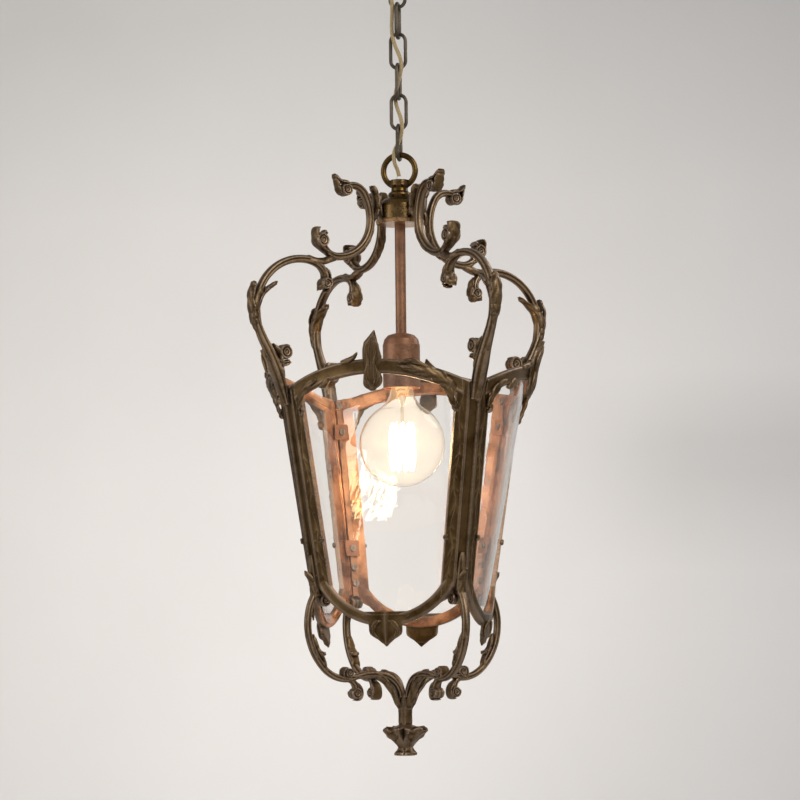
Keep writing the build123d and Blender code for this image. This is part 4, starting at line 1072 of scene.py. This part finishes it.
def makeFinial(s):
    # spun outline whose radius swells at four leaf lobes: 1 + cup and flare bells times the root of |sin 2t|
    def lobes(z, t):
        # the factor on the radius at height z and angle t
        cup, flare = (np.exp(-(((z - level) / size) ** 2)) for level, size in (s["cup"], s["flare"]))
        four = np.abs(np.sin(2 * t)) ** 0.8
        teeth = np.abs(np.sin(s["teeth"] * t)) ** 0.6
        return 1 + cup * (0.62 * four - 0.68 + 0.06 * teeth * four) + flare * (0.40 * four - 0.38)
    outline = [(4, -585), (8, -587), (14, -589), (19, -590.5), (22, -592), (22.5, -596), (19, -600.5), (14, -605),
               (10, -609.5), (8, -613), (8.5, -615.6), (11.8, -618), (11.4, -620.6), (4, -621)]
    leaves = leafRows(planeLeaf, [
        # blade, curl over the cup, and foot
        ([(6.5, -614), (9.5, -608), (15, -603), (21, -598.5), (25, -593.5), (24, -588.5)],
         [3, 4.6, 7.6, 10, 9.4, 5], 4.4, dict(lobes=3, notch=0.34, cup=3.2, vein=1.1, flip=-1, count=70)),
        ([(7, -596), (13, -592.5), (19, -590.5), (24.5, -591)],
         [3.4, 4.4, 4.8, 3.4], 3.4, dict(lobes=2, notch=0.2, cup=1.4)),
        ([(6, -608), (7.5, -613), (10.5, -617), (13, -619.6)],
         [2.5, 4.2, 6.2, 5], 3.6, dict(lobes=2, notch=0.26, cup=1.4)),
    ])
    parts = [turnedShape(outline, s["round"], lobes)]
    parts += [turnZ(piece, angle) for angle in cornerAngles.values() for piece in leaves]
    stalk = [(3, -553), (6.0, -555), (6.6, -562), (6.3, -574), (6.6, -585), (6.4, -589.4), (3, -590)]
    makePiece("stalk_core", [turnedShape(stalk)], "lantern", finishes["cast"], ["bottom_boss"])
    makePiece("leaf_finial", parts, "lantern", finishes["cast"], ["finial"])


makeFinial(finialSettings)
print("finial made")


filamentSettings = {"top": -253.0, "bottom": -306.0, "radius": 14.0, "posts": 10, "wire": 0.6, "stations": 900,
                    "round": 8}


def makeFilament(s):
    # one wire zigzagging round a cage: radius bulges at mid height, level swings between top and bottom
    t = np.linspace(0, 2 * math.pi, s["stations"], endpoint=False)
    swing = np.cos(s["posts"] * t)
    level = (s["top"] + s["bottom"]) / 2 + (s["top"] - s["bottom"]) / 2 * np.sign(swing) * np.abs(swing) ** 0.5
    radius = s["radius"] * (0.75 + 0.25 * np.sqrt(1 - np.clip(np.abs(swing), 0, 1) ** 2 * 0.9))
    line = np.stack([radius * np.cos(t), radius * np.sin(t), level], -1)
    d = unit(np.roll(line, -1, 0) - np.roll(line, 1, 0))
    side = unit(np.cross(d, np.stack([np.cos(t), np.sin(t), 0 * t], -1)))
    wire = closedTube(roundWire(line, side, np.cross(side, d), s["wire"], s["round"]), loop=True)
    makePiece("cage_filament", [wire], "bulb", finishes["filament"], ["bulb_filament"])


makeFilament(filamentSettings)
print("filament made")


roomSettings = {"floor": -1.75, "wall": 6.0, "half": 60.0, "bend": 1.0}
glowSettings = {"power": 2.5, "colour": (1.0, 0.50, 0.19), "size": 0.018}
skySettings = {"colour": (0.95, 0.93, 0.90), "strength": 0.6}
aimPoint = (0, 0, -0.55)
lightSettings = {
    "key": {"place": (2.5, -2.2, 1.2), "size": 1.6, "power": 72.0, "colour": (1.0, 0.98, 0.96)},
    "fill": {"place": (-2.8, -2.0, 0.2), "size": 2.4, "power": 40.0, "colour": (0.96, 0.97, 1.0)},
    "wash": {"place": (-1.3, 3.6, -1.6), "size": 2.2, "power": 76.0, "colour": (1.0, 0.985, 0.97),
             "aim": (-1.4, 6.0, 0.25)},
    "back": {"place": (1.5, 1.5, 0.9), "size": 1.2, "power": 24.0, "colour": (1.0, 0.97, 0.94)},
}


def makeRoom(s):
    # floor that sweeps up into a wall: flat run, quarter circle, then straight up
    a = np.linspace(0, math.pi / 2, 24)
    y = np.concatenate([[-s["half"]], s["wall"] - s["bend"] + s["bend"] * np.sin(a), [s["wall"]]])
    z = np.concatenate([[s["floor"]], s["floor"] + s["bend"] - s["bend"] * np.cos(a), [s["half"]]])
    x = np.linspace(-s["half"], s["half"], 2)
    grid = np.stack(np.broadcast_arrays(x[None, :], y[:, None], z[:, None]), -1).reshape(-1, 3)
    i = np.arange(len(y) - 1)
    faces = np.stack([2 * i, 2 * i + 1, 2 * i + 3, 2 * i + 2], -1)
    mesh = bpy.data.meshes.new("floorSweep")
    mesh.from_pydata(grid.tolist(), [], faces.tolist())
    mesh.polygons.foreach_set("use_smooth", np.ones(len(faces), bool))
    mesh.materials.append(plainWall("paleWall", wallSettings))
    sweep = bpy.data.objects.new("floorSweep", mesh)
    bpy.context.scene.collection.objects.link(sweep)


def makeLights(lights, glow, sky):
    # soft square lamps turned to their aim, an even sky, and a small lamp at the middle of the filament
    for name, s in lights.items():
        lamp = bpy.data.lights.new(name, "AREA")
        lamp.size, lamp.energy, lamp.color = s["size"], s["power"], s["colour"]
        obj = bpy.data.objects.new(name, lamp)
        obj.location = s["place"]
        way = Vector(s.get("aim", aimPoint)) - Vector(s["place"])
        obj.rotation_euler = way.to_track_quat("-Z", "Y").to_euler()
        obj.visible_camera = False
        bpy.context.scene.collection.objects.link(obj)
    world = bpy.data.worlds.new("studio")
    world.use_nodes = True
    background = world.node_tree.nodes["Background"]
    background.inputs["Color"].default_value = (*sky["colour"], 1)
    background.inputs["Strength"].default_value = sky["strength"]
    bpy.context.scene.world = world
    lamp = bpy.data.lights.new("bulbLight", "POINT")
    lamp.energy, lamp.color, lamp.shadow_soft_size = glow["power"], glow["colour"], glow["size"]
    obj = bpy.data.objects.new("bulbLight", lamp)
    obj.visible_camera = obj.visible_glossy = obj.visible_transmission = False
    obj.location = (0, 0, hubTop + (filamentSettings["top"] + filamentSettings["bottom"]) / 2 * mm)
    bpy.context.scene.collection.objects.link(obj)


makeRoom(roomSettings)
makeLights(lightSettings, glowSettings, skySettings)
bpy.context.scene.view_settings.view_transform = "Standard"
print("room and lights made")
